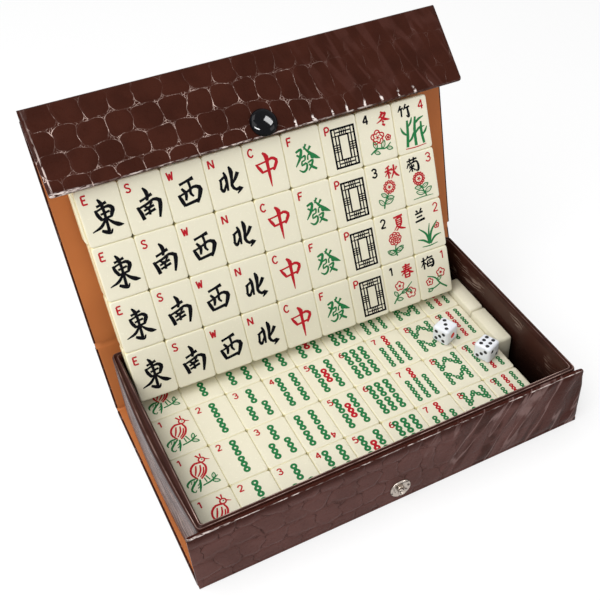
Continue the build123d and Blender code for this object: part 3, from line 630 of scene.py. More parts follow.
# ---- painted signs --------------------------------------------------------------------
# Traditional signs, cut shallow into the faces and filled with enamel paint that dries a
# touch proud. Brush signs are strokes with a pressure along them; the index letters and
# numbers are even strokes. All are written in millimetres from a tile's top left corner.
SIGNS = {
    "east": "10.0,6.6,.7 11.2,8.6,1.6 11.7,12,1.3 11.7,18,1.2 11.5,24.0,1.4|8.7,10.3,1.1 11.5,9.7,1 14.1,9,1.3|"
        "7.6,11.8,1 8.3,14.6,1.5 9.7,17.4,1.4|"
        "7.6,12.6,.9 12.6,11.3,1 15,11.3,1.5 16.3,12.8,1.8 15.4,15,1.6 14.5,16.9,1|9.7,14.6,.9 14.6,13.7,1|"
        "9.2,17.3,1 14.8,16.5,1|11.2,17.6,.9 8.6,20.4,1.3 3.4,22.4,.4|"
        "12.4,17.4,.7 15,20.2,1.5 17.2,21.6,1.8 19.6,22.2,.3|8,22.6,1.1 10.4,24,1.6 12.2,24.8,1 13.4,22.9,.6",
    "south": "11,7.2,.7 12.3,9.6,1.7 12.5,11.2,1.6 11.8,14.2,1.1|8,13.7,1.1 11.5,12.6,1 14.9,11.4,1.4|"
        "6,16.2,1.1 7.2,19.5,1.6 8,23.4,1.6|"
        "6.4,17.1,.9 11.2,15.8,1.1 15.6,14.3,1.3 17.9,15.4,1.9 17.6,18.5,1.7 16,24.2,.9|9.4,16.3,.9 10.8,17.8,1.1|"
        "13.9,15.2,1.1 12.4,17.2,.7|8.8,18.9,.9 14.6,17.2,1.1|8.8,21,.9 14.8,19.3,1.2|11.7,17,1.1 11.5,21.6,1",
    "west": "7.5,11.2,1.2 11.5,10.2,1.1 15.4,9.3,1.7|12.5,10.4,1.2 12.8,14,1.1 12.4,17,1.2 13.6,18.8,.8|"
        "8.2,13.2,1 9.8,16.2,1.5 9.2,19.9,1|5.9,16.2,1.1 7,19.4,1.6 8.1,22.7,1.4|"
        "6.2,16.9,.9 11,15.4,1 15.6,13.9,1.4 17.7,15.2,2 16.8,18.8,1.7 14.8,22.6,1|8.1,22.2,1.2 15.4,21.1,1.4",
    "north": "9.4,11,.8 10,13,1.3 10.1,17,1.3 9.9,21.2,.9|6.4,15.2,1.2 9.9,13.2,1|7.2,14.6,1.1 6.6,18.8,1.1|"
        "6.2,18.6,1.1 7.3,20.8,1.3 9.8,17,.6|"
        "12.8,8.8,.7 13.4,10.8,1.7 13.1,15.5,1.3 12.7,19.6,1.4 14,21.5,1.3 17.4,21.2,1.7 14.6,23.9,.5|"
        "17,12.8,1.6 15.2,15.6,1.4 13.3,18,.6",
    "middle": "10.2,6.8,1 11.8,8.8,2.5 11.9,13,1.9 11.9,19,1.7 11.9,25.6,.5|5.4,12,.8 7,14.6,1.8 8.5,17.4,1.4|"
        "6,12.5,.9 11.8,11.6,1.1 15.2,10.8,1.7 17.2,12.6,1.9 16.2,14.8,1.9 14.7,17.4,1.1|8.2,17.1,1.2 14.9,16.1,1.2",
    "wealth": "6.4,11.8,1 9.6,10.8,1.3 8.6,14.6,1.4 5.2,19.4,.5|6.6,13.2,.8 8.4,14.7,1.1|12.9,8.6,1.1 11.3,11.3,.6|"
        "15.3,10.2,1.3 13.2,12.6,.6|11.2,9.6,.6 13.4,12.8,1.2 17,16.4,1.9 19.7,18.1,.3|"
        "9,15.3,.8 11.2,14.6,.9 10.9,17,.8|8.8,17.4,.8 10.9,16.9,.7|"
        "9,17.3,.8 8.6,19.4,.9 11.3,18.6,1 10.9,21.8,1.1 8.9,23,1.1 6.6,21.4,.4|12.8,14.8,.7 12.5,17.2,.9|"
        "12.8,14.7,.7 14.9,14,.9 14.8,16.6,.8 16,17,.6|12.2,18.7,.8 15.2,17.9,1 14,20.6,1.1 11.9,23,.4|"
        "12.6,19.6,.7 14.6,21.6,1.3 16.8,23.2,1",
    "winter": "14.9,3,.7 16,3.7,1 13.4,6.2,.5|14.6,4.5,.8 17.8,4,1 15.6,6.9,1 11.8,8.7,.3|"
        "14.2,5.3,.6 16.8,7.2,1.3 20,8.1,.4|15.2,8.1,.9 16.3,8.8,.9|15,9.6,1 16.7,10.7,1",
    "autumn": "15.1,3.3,.8 12.4,4.6,.5|11.7,6.3,.8 15.8,5.6,.9|14,4.1,.9 13.9,10.5,.9|13.8,6.6,.8 11.7,9,.4|"
        "14.4,6.8,.6 15.5,8.1,.8|17.7,3.2,.9 17.4,7,1 15.4,10.8,.4|17.5,6.8,.7 18.7,9.1,1.1 20.5,10.5,.5|"
        "16.1,5,.7 16.6,6.5,.8|19.6,4.6,.9 18.5,6.4,.5",
    "summer": "12.3,3.7,.9 18.2,3.1,1|13.7,4.6,.8 13.9,8.2,.9|13.8,4.8,.7 17,4.4,.9 17,8,.9|14,5.9,.6 16.8,5.6,.6|"
        "14,7,.6 16.8,6.7,.6|13.8,8.2,.8 17.2,7.9,.8|14.4,8.4,.8 11.9,11.2,.4|16.9,8.4,.9 13.2,11.7,.5|"
        "13.9,8.9,.7 16.4,10.6,1.1 19.2,11.5,.6",
    "spring": "12.8,4.6,.8 18.1,4,.9|13.2,5.9,.8 17.7,5.3,.8|11.7,7.3,.9 18.9,6.6,1|15.3,3,1 14.6,6.9,1 11.7,9.8,.4|"
        "16,7,.7 17.7,8.7,1.2 19.8,9.5,.6|14,8.5,.8 14.1,11.7,.9|14.2,8.4,.7 16.9,8.2,.8 16.8,11.7,.9|"
        "14.2,10,.7 16.7,9.8,.7|14.1,11.5,.8 16.8,11.4,.8",
    "reed": "5.5,2.8,.9 3.5,6,.5|4.1,4.9,.7 6.9,4.4,.9|5.6,4.8,.9 5.4,9,.8|8.7,2.5,.9 7.1,5.5,.5|"
        "7.8,4.7,.7 10.9,4.1,.9|9.5,4.4,.9 9.4,9.6,1 8.3,8.7,.4",
    "aster": "4.1,4.3,.7 10.7,3.5,.9|6,2.7,.8 6,5.3,.8|8.7,2.5,.8 8.4,5,.8|5.2,5.4,.9 3.7,8.1,.5|"
        "5,6.1,.7 10.5,5.4,.9 10.3,10.7,1 9.1,10.1,.5|5.1,8.1,.6 8.7,7.6,.7|6.9,6.3,.7 6.9,10.7,.8|"
        "5.4,6.7,.5 6.2,7.5,.6|8.4,6.5,.6 7.6,7.5,.5|6.8,8.3,.6 4.7,10.5,.4|7,8.2,.5 8.9,10.1,.8",
    "orchid": "5.1,3.5,.7 6.1,4.9,1|8.8,2.9,1 7.6,4.9,.6|4.3,5.9,.8 9.5,5.1,1|5,7.9,.8 8.9,7.4,.9|"
        "3.9,10.5,.9 10.3,9.6,1.2",
    "plum": "3.5,5.3,.7 6.7,4.8,.9|5.2,3.1,.9 5.2,10.7,.9|5.1,6,.7 3.3,8.9,.4|5.4,6.2,.6 6.7,7.7,.8|"
        "8.4,2.9,.8 7,5.1,.5|7.8,4.2,.7 11.5,3.8,.9|7.9,5.8,.8 7.4,9.5,.8|"
        "7.9,5.9,.6 11,5.4,.9 10.8,10,.9 9.7,10.3,.5|6.8,7.9,.7 11.9,7.4,.8|7.4,9.5,.7 11.4,9,.8|"
        "9.1,6.4,.7 9.5,7,.6",
}
MARKS = {   # index numbers and letters in a box one wide
    "1": ".15,.36 .6,0|.6,0 .6,1.6", "2": ".05,.4 .3,.03 .7,.03 .95,.4 .72,.88 .05,1.6|.05,1.6 1,1.6",
    "3": ".05,.25 .45,0 .9,.3 .8,.65 .4,.75|.4,.75 .9,.9 .95,1.25 .5,1.6 .02,1.3",
    "4": ".7,0 0,1.1|0,1.1 1,1.1|.72,0 .72,1.6",
    "5": ".9,.02 .2,.02|.2,.02 .12,.75|.12,.75 .5,.55 .95,.9 .85,1.4 .4,1.6 .02,1.4",
    "6": ".8,.02 .3,.35 .05,.95 .15,1.45 .55,1.6 .95,1.3 .9,.9 .5,.72 .1,.95", "7": "0,.03 1,.03|1,.03 .55,.8 .4,1.6",
    "8": ".5,0 .88,.2 .85,.55 .5,.75 .15,.55 .12,.2 .5,0|.5,.75 .95,1 .92,1.45 .5,1.6 .08,1.45 .05,1 .5,.75",
    "9": ".9,.65 .5,.88 .08,.65 .1,.2 .5,0 .88,.2 .95,.65 .8,1.2 .3,1.6",
    "E": ".1,0 .1,1.5|.1,0 .9,0|.1,.72 .75,.72|.1,1.5 .95,1.5",
    "S": ".9,.22 .5,0 .1,.28 .28,.65 .75,.85 .92,1.2 .5,1.5 .08,1.28",
    "W": "0,0 .25,1.5|.25,1.5 .5,.3|.5,.3 .75,1.5|.75,1.5 1,0", "N": ".05,1.5 .05,0|.05,0 .95,1.5|.95,1.5 .95,0",
    "C": ".9,.3 .5,0 .1,.35 .08,1.1 .5,1.5 .92,1.2", "F": ".1,1.5 .1,0|.1,0 .9,0|.1,.7 .75,.7",
    "P": ".1,1.5 .1,0|.1,0 .7,.02 .95,.4 .7,.8 .1,.8",
}
paint = {}                # colour: list of (points, quads)
PROUD, SUNK = 0.05, 0.08


def through(points, n):
    """Smooth line through given points: cubic pieces whose slope at a point is the mean slope of its two runs."""
    p = np.asarray(points, float)
    if len(p) == 2:
        return np.linspace(p[0], p[1], max(2, n // 3))
    t = np.concatenate([[0], np.cumsum(np.hypot(*np.diff(p[:, :2], axis=0).T) + 1e-6)])
    m = np.gradient(p, t, axis=0)
    s = np.linspace(0, t[-1], n)
    k = np.clip(np.searchsorted(t, s, side="right") - 1, 0, len(t) - 2)
    h = (t[k + 1] - t[k])[:, None]
    u = (s - t[k])[:, None] / h
    return ((2 * u ** 3 - 3 * u ** 2 + 1) * p[k] + (u ** 3 - 2 * u ** 2 + u) * h * m[k]
            + (3 * u ** 2 - 2 * u ** 3) * p[k + 1] + (u ** 3 - u ** 2) * h * m[k + 1])


def band(colour, line, width, tile, closed=False, lift=0.0):
    """Thin solid over a flat line: half the width to each side of it, its top PROUD above the face."""
    d = np.roll(line, -1, 0) - np.roll(line, 1, 0) if closed else np.gradient(line, axis=0)
    side = np.stack([-d[:, 1], d[:, 0]], -1) / (np.hypot(*d.T)[:, None] + 1e-9) * np.reshape(width, (-1, 1)) / 2
    flat = np.concatenate([line + side, line - side])
    n = len(line)
    p = np.column_stack([np.tile(flat, (2, 1)), np.repeat([PROUD + lift, -SUNK], 2 * n)])
    k = np.arange(n if closed else n - 1)
    j = (k + 1) % n
    quads = [np.stack([k, n + k, n + j, j], -1), np.stack([2 * n + j, 3 * n + j, 3 * n + k, 2 * n + k], -1),
             np.stack([k, j, 2 * n + j, 2 * n + k], -1), np.stack([n + k, 3 * n + k, 3 * n + j, n + j], -1)]
    if not closed:
        quads.append([[0, 2 * n, 3 * n, n], [n - 1, 2 * n - 1, 4 * n - 1, 3 * n - 1]])
    paint.setdefault(colour, []).append((tile[0] + p @ tile[1], np.concatenate(quads)))


def brush(colour, points, tile, n=13, lift=0.0, bold=1.0):
    """One stroke through (x, y, pressure) points; bold thickens it."""
    line = through(points, n)
    band(colour, line[:, :2], np.maximum(line[:, 2] * bold, 0.12), tile, lift=lift)


def write(colour, text, tile, at=(0, 0), scale=1.0, width=None, n=13, bold=1.0):
    """Strokes from text: 'x,y,pressure' points, runs parted by |; width gives an even pressure instead."""
    for k, run in enumerate(text.split("|")):
        rows = np.array([word.split(",") for word in run.split()], float)
        if width:
            rows = np.column_stack([rows, np.full(len(rows), width / scale)])
        brush(colour, rows * scale + [*at, 0], tile, n, 0.002 * k, bold)


def on_tile(stack, col, row, upside_down=False):
    """Top left corner of a face in the upper layer, and its axes with Y running down it."""
    corner, axes = stack
    at = np.array([col * (TILE_W + GAP), row * (TILE_L + GAP) + TILE_L, 2 * TILE_T])
    if upside_down:
        return corner + (at + [TILE_W, -TILE_L, 0]) @ axes, axes * [[-1], [1], [1]]
    return corner + at @ axes, axes * [[1], [-1], [1]]


def petals(x, y, radius, count=1, depth=0.0, turn=0.0, n=72):
    """Flower outline: radius times (1 - depth + depth |cos|) of count half turns."""
    t = np.linspace(0, 2 * np.pi, n, endpoint=False)
    r = radius * (1 - depth + depth * np.abs(np.cos(count * (t - turn) / 2)))
    return np.stack([x + r * np.sin(t), y - r * np.cos(t)], -1)


def leaf(tile, x, y, length, angle):
    """Pointed leaf: two sine arcs from foot to tip, with a midrib."""
    c, s = np.cos(np.radians(angle)), np.sin(np.radians(angle))
    t = np.linspace(0, 1, 12, endpoint=False)
    along = np.concatenate([t, 1 - t]) * length
    across = np.concatenate([np.sin(np.pi * t) ** 0.8, -np.sin(np.pi * (1 - t)) ** 0.8]) * length * 0.23
    band("green", np.stack([x + along * c - across * s, y - along * s - across * c], -1), 0.6, tile, True, 0.001)
    brush("green", [(x, y, 0.3), (x + 0.85 * length * c, y - 0.85 * length * s, 0.16)], tile, 6)


def flower(tile, x, y, r, count, depth=0.3, rings=1):
    """Outlined flower with a dotted middle; more rings make it double."""
    for k in range(rings):
        band("red", petals(x, y, r * (1 - 0.3 * k), count, depth, 0.4 * k), 0.72, tile, True, 0.002 * k)
    band("red", petals(x, y, 0.4, n=12), 0.7, tile, True)
    for a in np.arange(5) * 1.257:
        dx, dy = 0.34 * r * np.sin(a), 0.34 * r * np.cos(a)
        brush("red", [(x + 0.6 * dx, y + 0.6 * dy, 0.4), (x + dx, y + dy, 0.7)], tile, 6)


def chain(colour, tile, a, b, n, size, lift=0.0):
    """Bamboo stick from a to b: n rings size across, each with a pale middle a third of that, tied by bars."""
    a, step = np.array(a, float), np.subtract(b, a) / (n - 1)
    for k in range(n):
        c = a + step * k
        band(colour, c + petals(0, 0, size * 0.325, n=12), size * 0.36, tile, True, lift + 0.004 * k)
        if k:
            brush(colour, [(*(c - step * f), size * 0.5) for f in (0.66, 0.34)], tile, 6, lift - 0.003)


def window(tile):
    """The white dragon's frame: a heavy line outside and inside, a fine one along the middle of
    the band, and short bars across it that part it into long slots and three small panes."""
    def bar(x0, y0, x1, y1, width, lift=0.0):
        brush("black", [(x0, y0, width), (x1, y1, width)], tile, 6, lift)
    for x0, y0, x1, y1, w in ((6.4, 5.4, 19.8, 26.7, 1.1), (10.3, 9.3, 15.9, 22.8, 0.95)):
        for y in (y0, y1):
            bar(x0 - w / 2, y, x1 + w / 2, y, w)
        for x in (x0, x1):
            bar(x, y0, x, y1, w, 0.002)
    for x in (8.4, 17.8):
        bar(x, 9.3, x, 22.8, 0.8, 0.004)
    for y in (7.4, 24.7):
        bar(8.1, y, 18.1, y, 0.8, 0.004)
    for a, b in ((6.4, 10.3), (15.9, 19.8)):
        for y in (9.3, 14.2, 15.5, 16.7, 17.9, 22.8):
            bar(a, y, b, y, 0.62, 0.006)
    for a, b in ((5.4, 9.3), (22.8, 26.7)):
        for x in (8.3, 11.3, 12.5, 13.7, 14.9, 17.9):
            bar(x, a, x, b, 0.62, 0.006)


def bird(tile):
    """Crested bird on a twig, facing right: a fat banded body and three long feathers hanging behind."""
    write("red", "14.6,9,1 11.2,8.4,1.3 8.2,10.8,1.2 7.4,14.6,1.1 9.2,18.4,1|14.8,9,.9 15.8,12.4,1.1 14.4,16.2,1.2 "
                 "11,19.2,.9|13.4,10.4,.8 12.4,14,1 9.8,17.2,.7|11.2,10,.8 10,13.4,1 8.8,16,.7|14.6,12.4,.7 "
                 "13.2,15.8,.9 10.8,18,.6|16.8,7.4,.9 19.4,8.8,.3|14.8,6,.8 13.2,3.4,1|15.5,5.8,.7 15.8,3,.9",
          tile, n=10)
    band("red", petals(15.4, 7.4, 1.6, n=20), 0.85, tile, True, 0.03)
    band("black", petals(15.7, 7.2, 0.2, n=8), 0.36, tile, True, 0.04)
    write("green", "9.2,18.6,.9 6.6,20.6,1.3 4,24.6,1 5.2,26,.8 6.2,25,.5|10,19.2,.9 9.2,22.6,1.3 7.6,26.8,.6|"
                   "8.6,17.8,.8 5.4,18,1.2 2.8,20.4,1 3,21.8,.5|7.2,18.4,.5 6.4,20.2,.5|5.8,18.6,.5 5,20.4,.5|"
                   "9.4,21.2,.5 7.6,22.6,.5|9.1,23,.5 7.2,24.2,.5|12.4,19.2,.7 12.8,22.4,.7|13.6,18.2,.7 14.8,21.8,.7|"
                   "10.2,23.6,.8 14.8,22.8,1 19.2,20.6,.6", tile, n=10)
    leaf(tile, 15.6, 22.6, 4.2, -30)
    leaf(tile, 16.6, 21.8, 3.8, 70)


# the leaning wall: winds and dragons, each with its letter
for c, (letter, sign, ink, bold) in enumerate((
        ("E", "east", "black", 1.28), ("S", "south", "black", 1.28), ("W", "west", "black", 1.26),
        ("N", "north", "black", 1.3), ("C", "middle", "red", 0.98), ("F", "wealth", "green", 1.16), ("P", "", "", 0))):
    for r in range(4):
        tile = on_tile(LEANING, c, r)
        write("red", MARKS[letter], tile, (2.6, 3.3), 2.9, 0.92)
        if sign:
            write(ink, SIGNS[sign], tile, bold=bold)
        else:
            window(tile)

# seasons and plants: a number, a sign, and a drawing of stems, leaves (x, y, length, angle),
# flowers (x, y, radius, petals, depth, rings) and a line of ground in its own ink
for c, inks, at, width, names in ((7, ("black", "red"), (3.8, 2.7), 1.0, ("spring", "summer", "autumn", "winter")),
                                  (8, ("red", "black"), (16.3, 2.4), 0.78, ("plum", "orchid", "aster", "reed"))):
    for r, name in enumerate(names):
        tile = on_tile(LEANING, c, r)
        write(inks[0], MARKS[str(r + 1)], tile, at, 3.1, width)
        write(inks[1], SIGNS[name], tile, bold=1.25)
for c, r, stems, leaves, flowers, ground in (
        (7, 0, "4,25.5,.7 7.4,21.6,.6 12.2,19.4,.6 17.6,15.2,.4",
         [(7.4, 21.6, 4.2, 120), (9.8, 20.4, 4.6, 20), (13, 19, 4, -30), (6, 23.2, 4.4, -12)],
         [(9.3, 15.4, 2.9, 5), (16, 21.8, 3.3, 5)],()),
        (7, 1, "11.2,26.6,.7 10.6,22.6,.6 11.4,19.6,.5",
         [(10.8, 24.6, 6, 32), (10.8, 25.4, 6.2, 150), (11, 22.6, 4.8, -4), (10.6, 23.2, 4.8, 186)],
         [(11.4, 16, 3.9, 8, 0.16, 3)],()),
        (7, 2, "8,26.8,.7 9.4,22.8,.6 12.4,18.4,.5",
         [(9, 24, 5.6, 14), (8.6, 25, 5, 128), (10.6, 21, 4.6, -8), (11, 20.6, 4.4, 142)],
         [(13.2, 15.2, 3.7, 12, 0.2, 2)],()),
        (7, 3, "5.4,24.6,.6 9.6,22.4,.7 15.2,23,.6 18.4,20.6,.4",
         [(9.6, 22.4, 4.6, 108), (12.6, 22.8, 4.6, 62), (7.6, 23.4, 4, -30), (15.4, 22.9, 4, -20)],
         [(11, 16.2, 4.1, 5, 0.34, 2), (17.3, 17.6, 1.6, 5)],()),
        (8, 0, "18.4,26,.8 14.2,22.4,.8 11,17.8,.7 6.2,15.6,.4|14.2,22.4,.6 9,24.2,.6 5.4,23.6,.4",
         [(12.4, 20.2, 4, 40), (9, 24.2, 3.8, 200)], [(15.4, 15.6, 2.8, 5), (7.2, 19.4, 2.3, 5)],()),
        (8, 1, "11,25.8,.9 9.6,19.4,1 5.2,15,.4|11.4,25.8,.9 13.2,18.6,1 17.8,13,.4|11.2,25.8,.8 7,22.6,.9 3.8,21.6,.3|"
               "11.6,25.9,.8 15.6,22,.9 19.4,21.4,.3|11.2,25.6,.7 11.4,19,.8 12.6,13.4,.3",
         [], [(17.1, 15.9, 1.7, 5)], ("green", "6,26.6,.4 11,27,.7 16.4,26.4,.4")),
        (8, 2, "13.6,26.4,.7 12,22.4,.6 10.6,19.2,.5",
         [(13, 24.6, 5.2, 28), (12.8, 24.8, 5.6, 162), (11.4, 21.2, 4.6, 20), (11.2, 21, 4.4, 172)],
         [(10.2, 15.6, 3.8, 14, 0.24, 2)], ("green", "5,27,.4 12,26.7,.6 18,27,.3")),
        (8, 3, "6.4,26.4,1.3 7.6,18.6,1.3 8.2,11.6,.9|11.8,26.6,1.3 12.2,17,1.3 13.4,10.6,.9|17,26.4,1.1 16.2,19.6,1.2 "
               "16.6,14,.8|8,20.4,.5 4.6,17.4,1 3.6,14.6,.3|8,15.6,.5 10.4,12.8,.9 11.2,10.4,.3|12.2,20,.5 15,17.4,1 "
               "18.6,17,.3|12.4,14.8,.5 15.4,12.4,1 18.6,11.4,.3|7.2,24,.5 10,21.6,1 11,19,.3|16.4,21.8,.5 "
               "18.6,19.8,.9 20,17.4,.3",
         [], [], ("red", "5,27.2,.5 11.6,27.5,.6 18.2,27,.4"))):
    tile = on_tile(LEANING, c, r)
    write("green", stems, tile, n=16, bold=1.35)
    for shape in leaves:
        leaf(tile, *shape)
    for shape in flowers:
        flower(tile, *shape)
    if ground:
        write(*ground, tile)

# the bamboo tiles in the tray: for each number, upright sticks of three rings as
# (ink, pitch and size of the rings, where the top ring is); one is the bird, eight leans its sticks
STICKS = {
    2: [("green", 3.95, 3.9, "12,4.6 12,16.8")],
    3: [("green", 3.95, 3.9, "12,4.6 7.5,16.8 16.6,16.8")],
    4: [("green", 3.95, 3.9, "8,4.6 16.5,4.6 8,16.8 16.5,16.8")],
    5: [("green", 3.95, 3.9, "7.4,4.6 16.6,4.6 7.4,16.8 16.6,16.8"), ("red", 3.95, 3.9, "12,10.6")],
    6: [("green", 3.95, 3.9, "6.6,4.6 11.6,4.6 17,4.6 6.6,16.8 11.6,16.8 17,16.8")],
    7: [("red", 2.9, 3.1, "11,2.9"), ("green", 2.9, 3.1, "5.4,11.4 5.4,20 10.8,11.4 10.8,20 16.4,11.4 16.4,20")],
    9: [("green", 2.45, 2.65, "5.9,3.1 5.9,11.2 5.9,19.7 17.1,3.1 17.1,11.2 17.1,19.7"),
        ("red", 2.45, 2.65, "11.6,3.1 11.6,11.2 11.6,19.7")]}
for number in range(1, 10):
    for r in range(4):
        tile = on_tile(FLAT, number - 1, r, upside_down=(number == 4 and r == 1))
        write("red", MARKS[str(number)], tile, (2.9, 2.4), 2.5, 0.80)
        if number == 1:
            bird(tile)
        for ink, pitch, size, tops in STICKS.get(number, ()):
            for x, y in np.array([word.split(",") for word in tops.split()], float):
                chain(ink, tile, (x, y), (x, y + 2 * pitch), 3, size)
        for s, y in ((1, 4.0), (-1, 24.4)) if number == 8 else ():
            for x in (5.9, 17.9):
                chain("green", tile, (x, y), (x, y + 8.25 * s), 4, 3.0)
            chain("green", tile, (7.7, y + 6.6 * s), (10.6, y + 2.9 * s), 2, 2.9, 0.02)
            chain("green", tile, (16.1, y + 6.6 * s), (11.9, y + 1.3 * s), 3, 2.9, 0.03)

INKS = {"black": (0.0015, 0.0015, 0.003), "red": (0.41, 0.012, 0.021), "green": (0.018, 0.158, 0.050)}
for ink, parts in paint.items():
    add, coat = new_material(f"{ink} enamel")
    thin = add("ShaderNodeTexCoord", out="Object").noise(700.0).ramp(0.3, 0.75, kind="LINEAR")
    enamel = coat(thin.mix((*INKS[ink], 1), (*(0.95 * c + 0.006 for c in INKS[ink]), 1)), 0.38, 0.04)
    first = np.cumsum([0] + [len(points) for points, _ in parts])
    quads = np.concatenate([quads + n for (_, quads), n in zip(parts, first)]).tolist()
    new_piece(f"{ink}_paint", np.concatenate([points for points, _ in parts]), quads, [enamel], "base", smooth=False)

# ---- spare tiles ----------------------------------------------------------------------
# Two blank tiles, put in on edge between the tray's right wall and the rows.
SPARE_X = 98.95           # the middle of their thickness
for name, y0, body in (("blank_front", -12.45, "front_spare"), ("blank_rear", 18.55, "rear_spare")):
    on_edge = np.stack([block_v[:, 2] + SPARE_X, block_v[:, 1] + y0 + TILE_L / 2, BED + TILE_W / 2 - block_v[:, 0]], -1)
    mark_points(new_piece(f"{name}_tile", on_edge, block_f, [ivory], body, [name]), "rim", np.zeros(len(block_v)))

# ---- dice -----------------------------------------------------------------------------
# Two cast dice with rounded edges. The pips are cupped and filled black, the single one red.
DIE, ROUNDING, PIP_STEP, PIP_DEEP = 11.0, 1.7, 2.55, 0.35
BRIM, SINGLE_BRIM = 1.2, 1.9
DIE_Z = TOP_Z + DIE / 2
SPOTS = {1: [(0, 0)], 2: [(-1, 1), (1, -1)], 3: [(-1, -1), (0, 0), (1, 1)], 4: [(-1, -1), (1, -1), (-1, 1), (1, 1)],
         5: [(-1, -1), (1, -1), (0, 0), (-1, 1), (1, 1)],
         6: [(-1.2, -.85), (0, -.85), (1.2, -.85), (-1.2, .85), (0, .85), (1.2, .85)]}
add, coat = new_material("white die resin")
single = add("ShaderNodeAttribute", out="Fac", attribute_name="single")
ink = single.mix((0.012, 0.012, 0.016, 1), (0.62, 0.012, 0.02, 1))
spot = add("ShaderNodeAttribute", out="Fac", attribute_name="pip").ramp(0.92, 1.05, 1.0, 0.0, "LINEAR")
die_resin = coat(spot.mix((0.70, 0.72, 0.76, 1), ink), 0.2)


def die(name, x_at, y_at, turn, values, body):
    """Cube lattice pulled to rounded edges, then cupped by depth (1 - d^2) inside each pip, d being one at its brim.

    values are those of the top, left and front; opposite sides add up to seven."""
    h, n = DIE / 2, 48
    a, b = np.meshgrid(*[np.linspace(-h, h, n + 1)] * 2, indexing="ij")
    x, y, z = np.eye(3)
    sides = list(zip((z, -x, -y), (x, -y, x), values))
    sides += [(-out, u, 7 - value) for out, u, value in sides]
    verts, pip, single = [], [], []
    for out, u, value in sides:
        p = a[..., None] * u + b[..., None] * np.cross(out, u) + h * out
        core = np.clip(p, ROUNDING - h, h - ROUNDING)
        p = core + ROUNDING * (p - core) / np.linalg.norm(p - core, axis=-1, keepdims=True)
        spots = np.array(SPOTS[value], float) * PIP_STEP
        d = np.hypot(a[..., None] - spots[:, 0], b[..., None] - spots[:, 1]).min(-1)
        d /= SINGLE_BRIM if value == 1 else BRIM
        verts.append(p - out * (PIP_DEEP * np.clip(1 - d ** 2, 0, 1))[..., None])
        pip.append(d)
        single.append(np.full(d.shape, value == 1))
    verts = np.reshape(verts, (-1, 3))
    i, j = np.meshgrid(np.arange(n), np.arange(n), indexing="ij")
    corner = (i * (n + 1) + j).ravel() + (n + 1) ** 2 * np.arange(6)[:, None]
    quads = corner.reshape(-1, 1) + [0, n + 1, n + 2, 1]
    _, first, weld = np.unique(np.round(verts, 4), axis=0, return_index=True, return_inverse=True)
    c, s = np.cos(np.radians(turn)), np.sin(np.radians(turn))
    verts = verts[first] @ np.array([[c, s, 0], [-s, c, 0], [0, 0, 1]]) + [x_at, y_at, DIE_Z]
    obj = new_piece(f"{name}_cube", verts, weld.ravel()[quads].tolist(), [die_resin], body, [name])
    mark_points(obj, "pip", np.ravel(pip)[first])
    mark_points(obj, "single", np.ravel(single)[first])


die("die_1", 70.70, 9.11, 23.0, (3, 5, 1), "first_die")
die("die_2", 84.16, -14.57, 23.8, (6, 3, 2), "second_die")

# ---- snap fastener --------------------------------------------------------------------
# Turned brass, nickel-plated: a stud riveted to the front board and a spring socket under
# the flap. The socket's rivet carries a pressed cap, dipped in glossy black enamel.
SNAP_X, STUD_DOWN, CAP_ALONG = -2.3, 34.2, 36.7


def spun(name, profile, foot, out, mat, body, node, around=72):
    """Profile of (radius, height) spun about the direction out, from a foot point on the board.

    One that starts on the axis ends there too and closes in fans; another closes on itself."""
    t = np.linspace(0, 2 * np.pi, around, endpoint=False)
    x = np.array([1.0, 0, 0])
    ring = np.outer(np.cos(t), x) + np.outer(np.sin(t), np.cross(out, x))
    radius, height = np.array(profile, float).T[..., None, None]
    verts, n = foot + radius * ring + height * out, len(profile)
    if profile[0][0] == 0:
        j = np.arange(around)
        k, last, pole = (j + 1) % around, (n - 3) * around, np.full(around, (n - 2) * around)
        fans = np.concatenate([np.stack([pole, k, j], -1), np.stack([last + j, last + k, pole + 1], -1)])
        faces = tube_faces(n - 2, around, False) + fans.tolist()
        verts = np.concatenate([verts[1:-1].reshape(-1, 3), verts[[0, -1], 0]])
    else:
        faces = (np.array(tube_faces(n + 1, around, False)) % (n * around)).tolist()
    new_piece(name, verts, faces, [mat], body, [node])


add, coat = new_material("nickel plate")
# nickel: darker and rougher in patches, part smudges on the plate and part painted shade
smudge_and_shade = add("ShaderNodeTexCoord", out="Object").noise(600.0, 3.0)
nickel = coat(smudge_and_shade.ramp(0.52, 0.62).mix((0.50, 0.44, 0.385, 1), (0.10, 0.080, 0.070, 1)),
              smudge_and_shade.ramp(0.0, 1.0, 0.16, 0.40), metal=1.0)
add, coat = new_material("black cap enamel")
cap_black = coat((0.002, 0.002, 0.003, 1), 0.06, 0.10)

stud_foot, stud_out = np.array([SNAP_X, FRONT_Y, RIM_Z + HALF - STUD_DOWN]), np.array([0, -1.0, 0])
spun("stud_plate", [(0, 0), (6.1, 0), (6.1, .35), (5.85, .75), (5.5, .9), (5.1, .8), (4.3, .45), (3.4, .55), (2.6, .6),
                    (0, .6)], stud_foot, stud_out, nickel, "base", "snap_stud")
spun("stud_knob", [(0, .55), (2.3, .55), (1.9, .9), (1.9, 1.9), (2.35, 2.15), (2.6, 2.45), (2.55, 2.8), (2.1, 3.15),
                   (1.5, 3.2), (1.2, 3.0), (1.1, 2.2), (0, 2.2)], stud_foot, stud_out, nickel, "base", "stud_post")
s, c = np.sin(np.radians(FLAP_AT)), np.cos(np.radians(FLAP_AT))
flap_out = np.array([0, s, -c])
flap_foot = np.array([SNAP_X, FOLD_C[0] + CAP_ALONG * c, FOLD_C[1] + CAP_ALONG * s])
dome = [(7.2 * np.cos(q), 1.2 + 2.4 * np.sin(q)) for q in np.radians(range(0, 90, 9))]
spun("cap_dome", [(0, 0), (6.9, 0), (7.3, .25), (7.4, .7), (7.35, 1.1)] + dome + [(0, 3.6)],
     flap_foot + flap_out * HALF, flap_out, cap_black, "flap", "snap_cap")
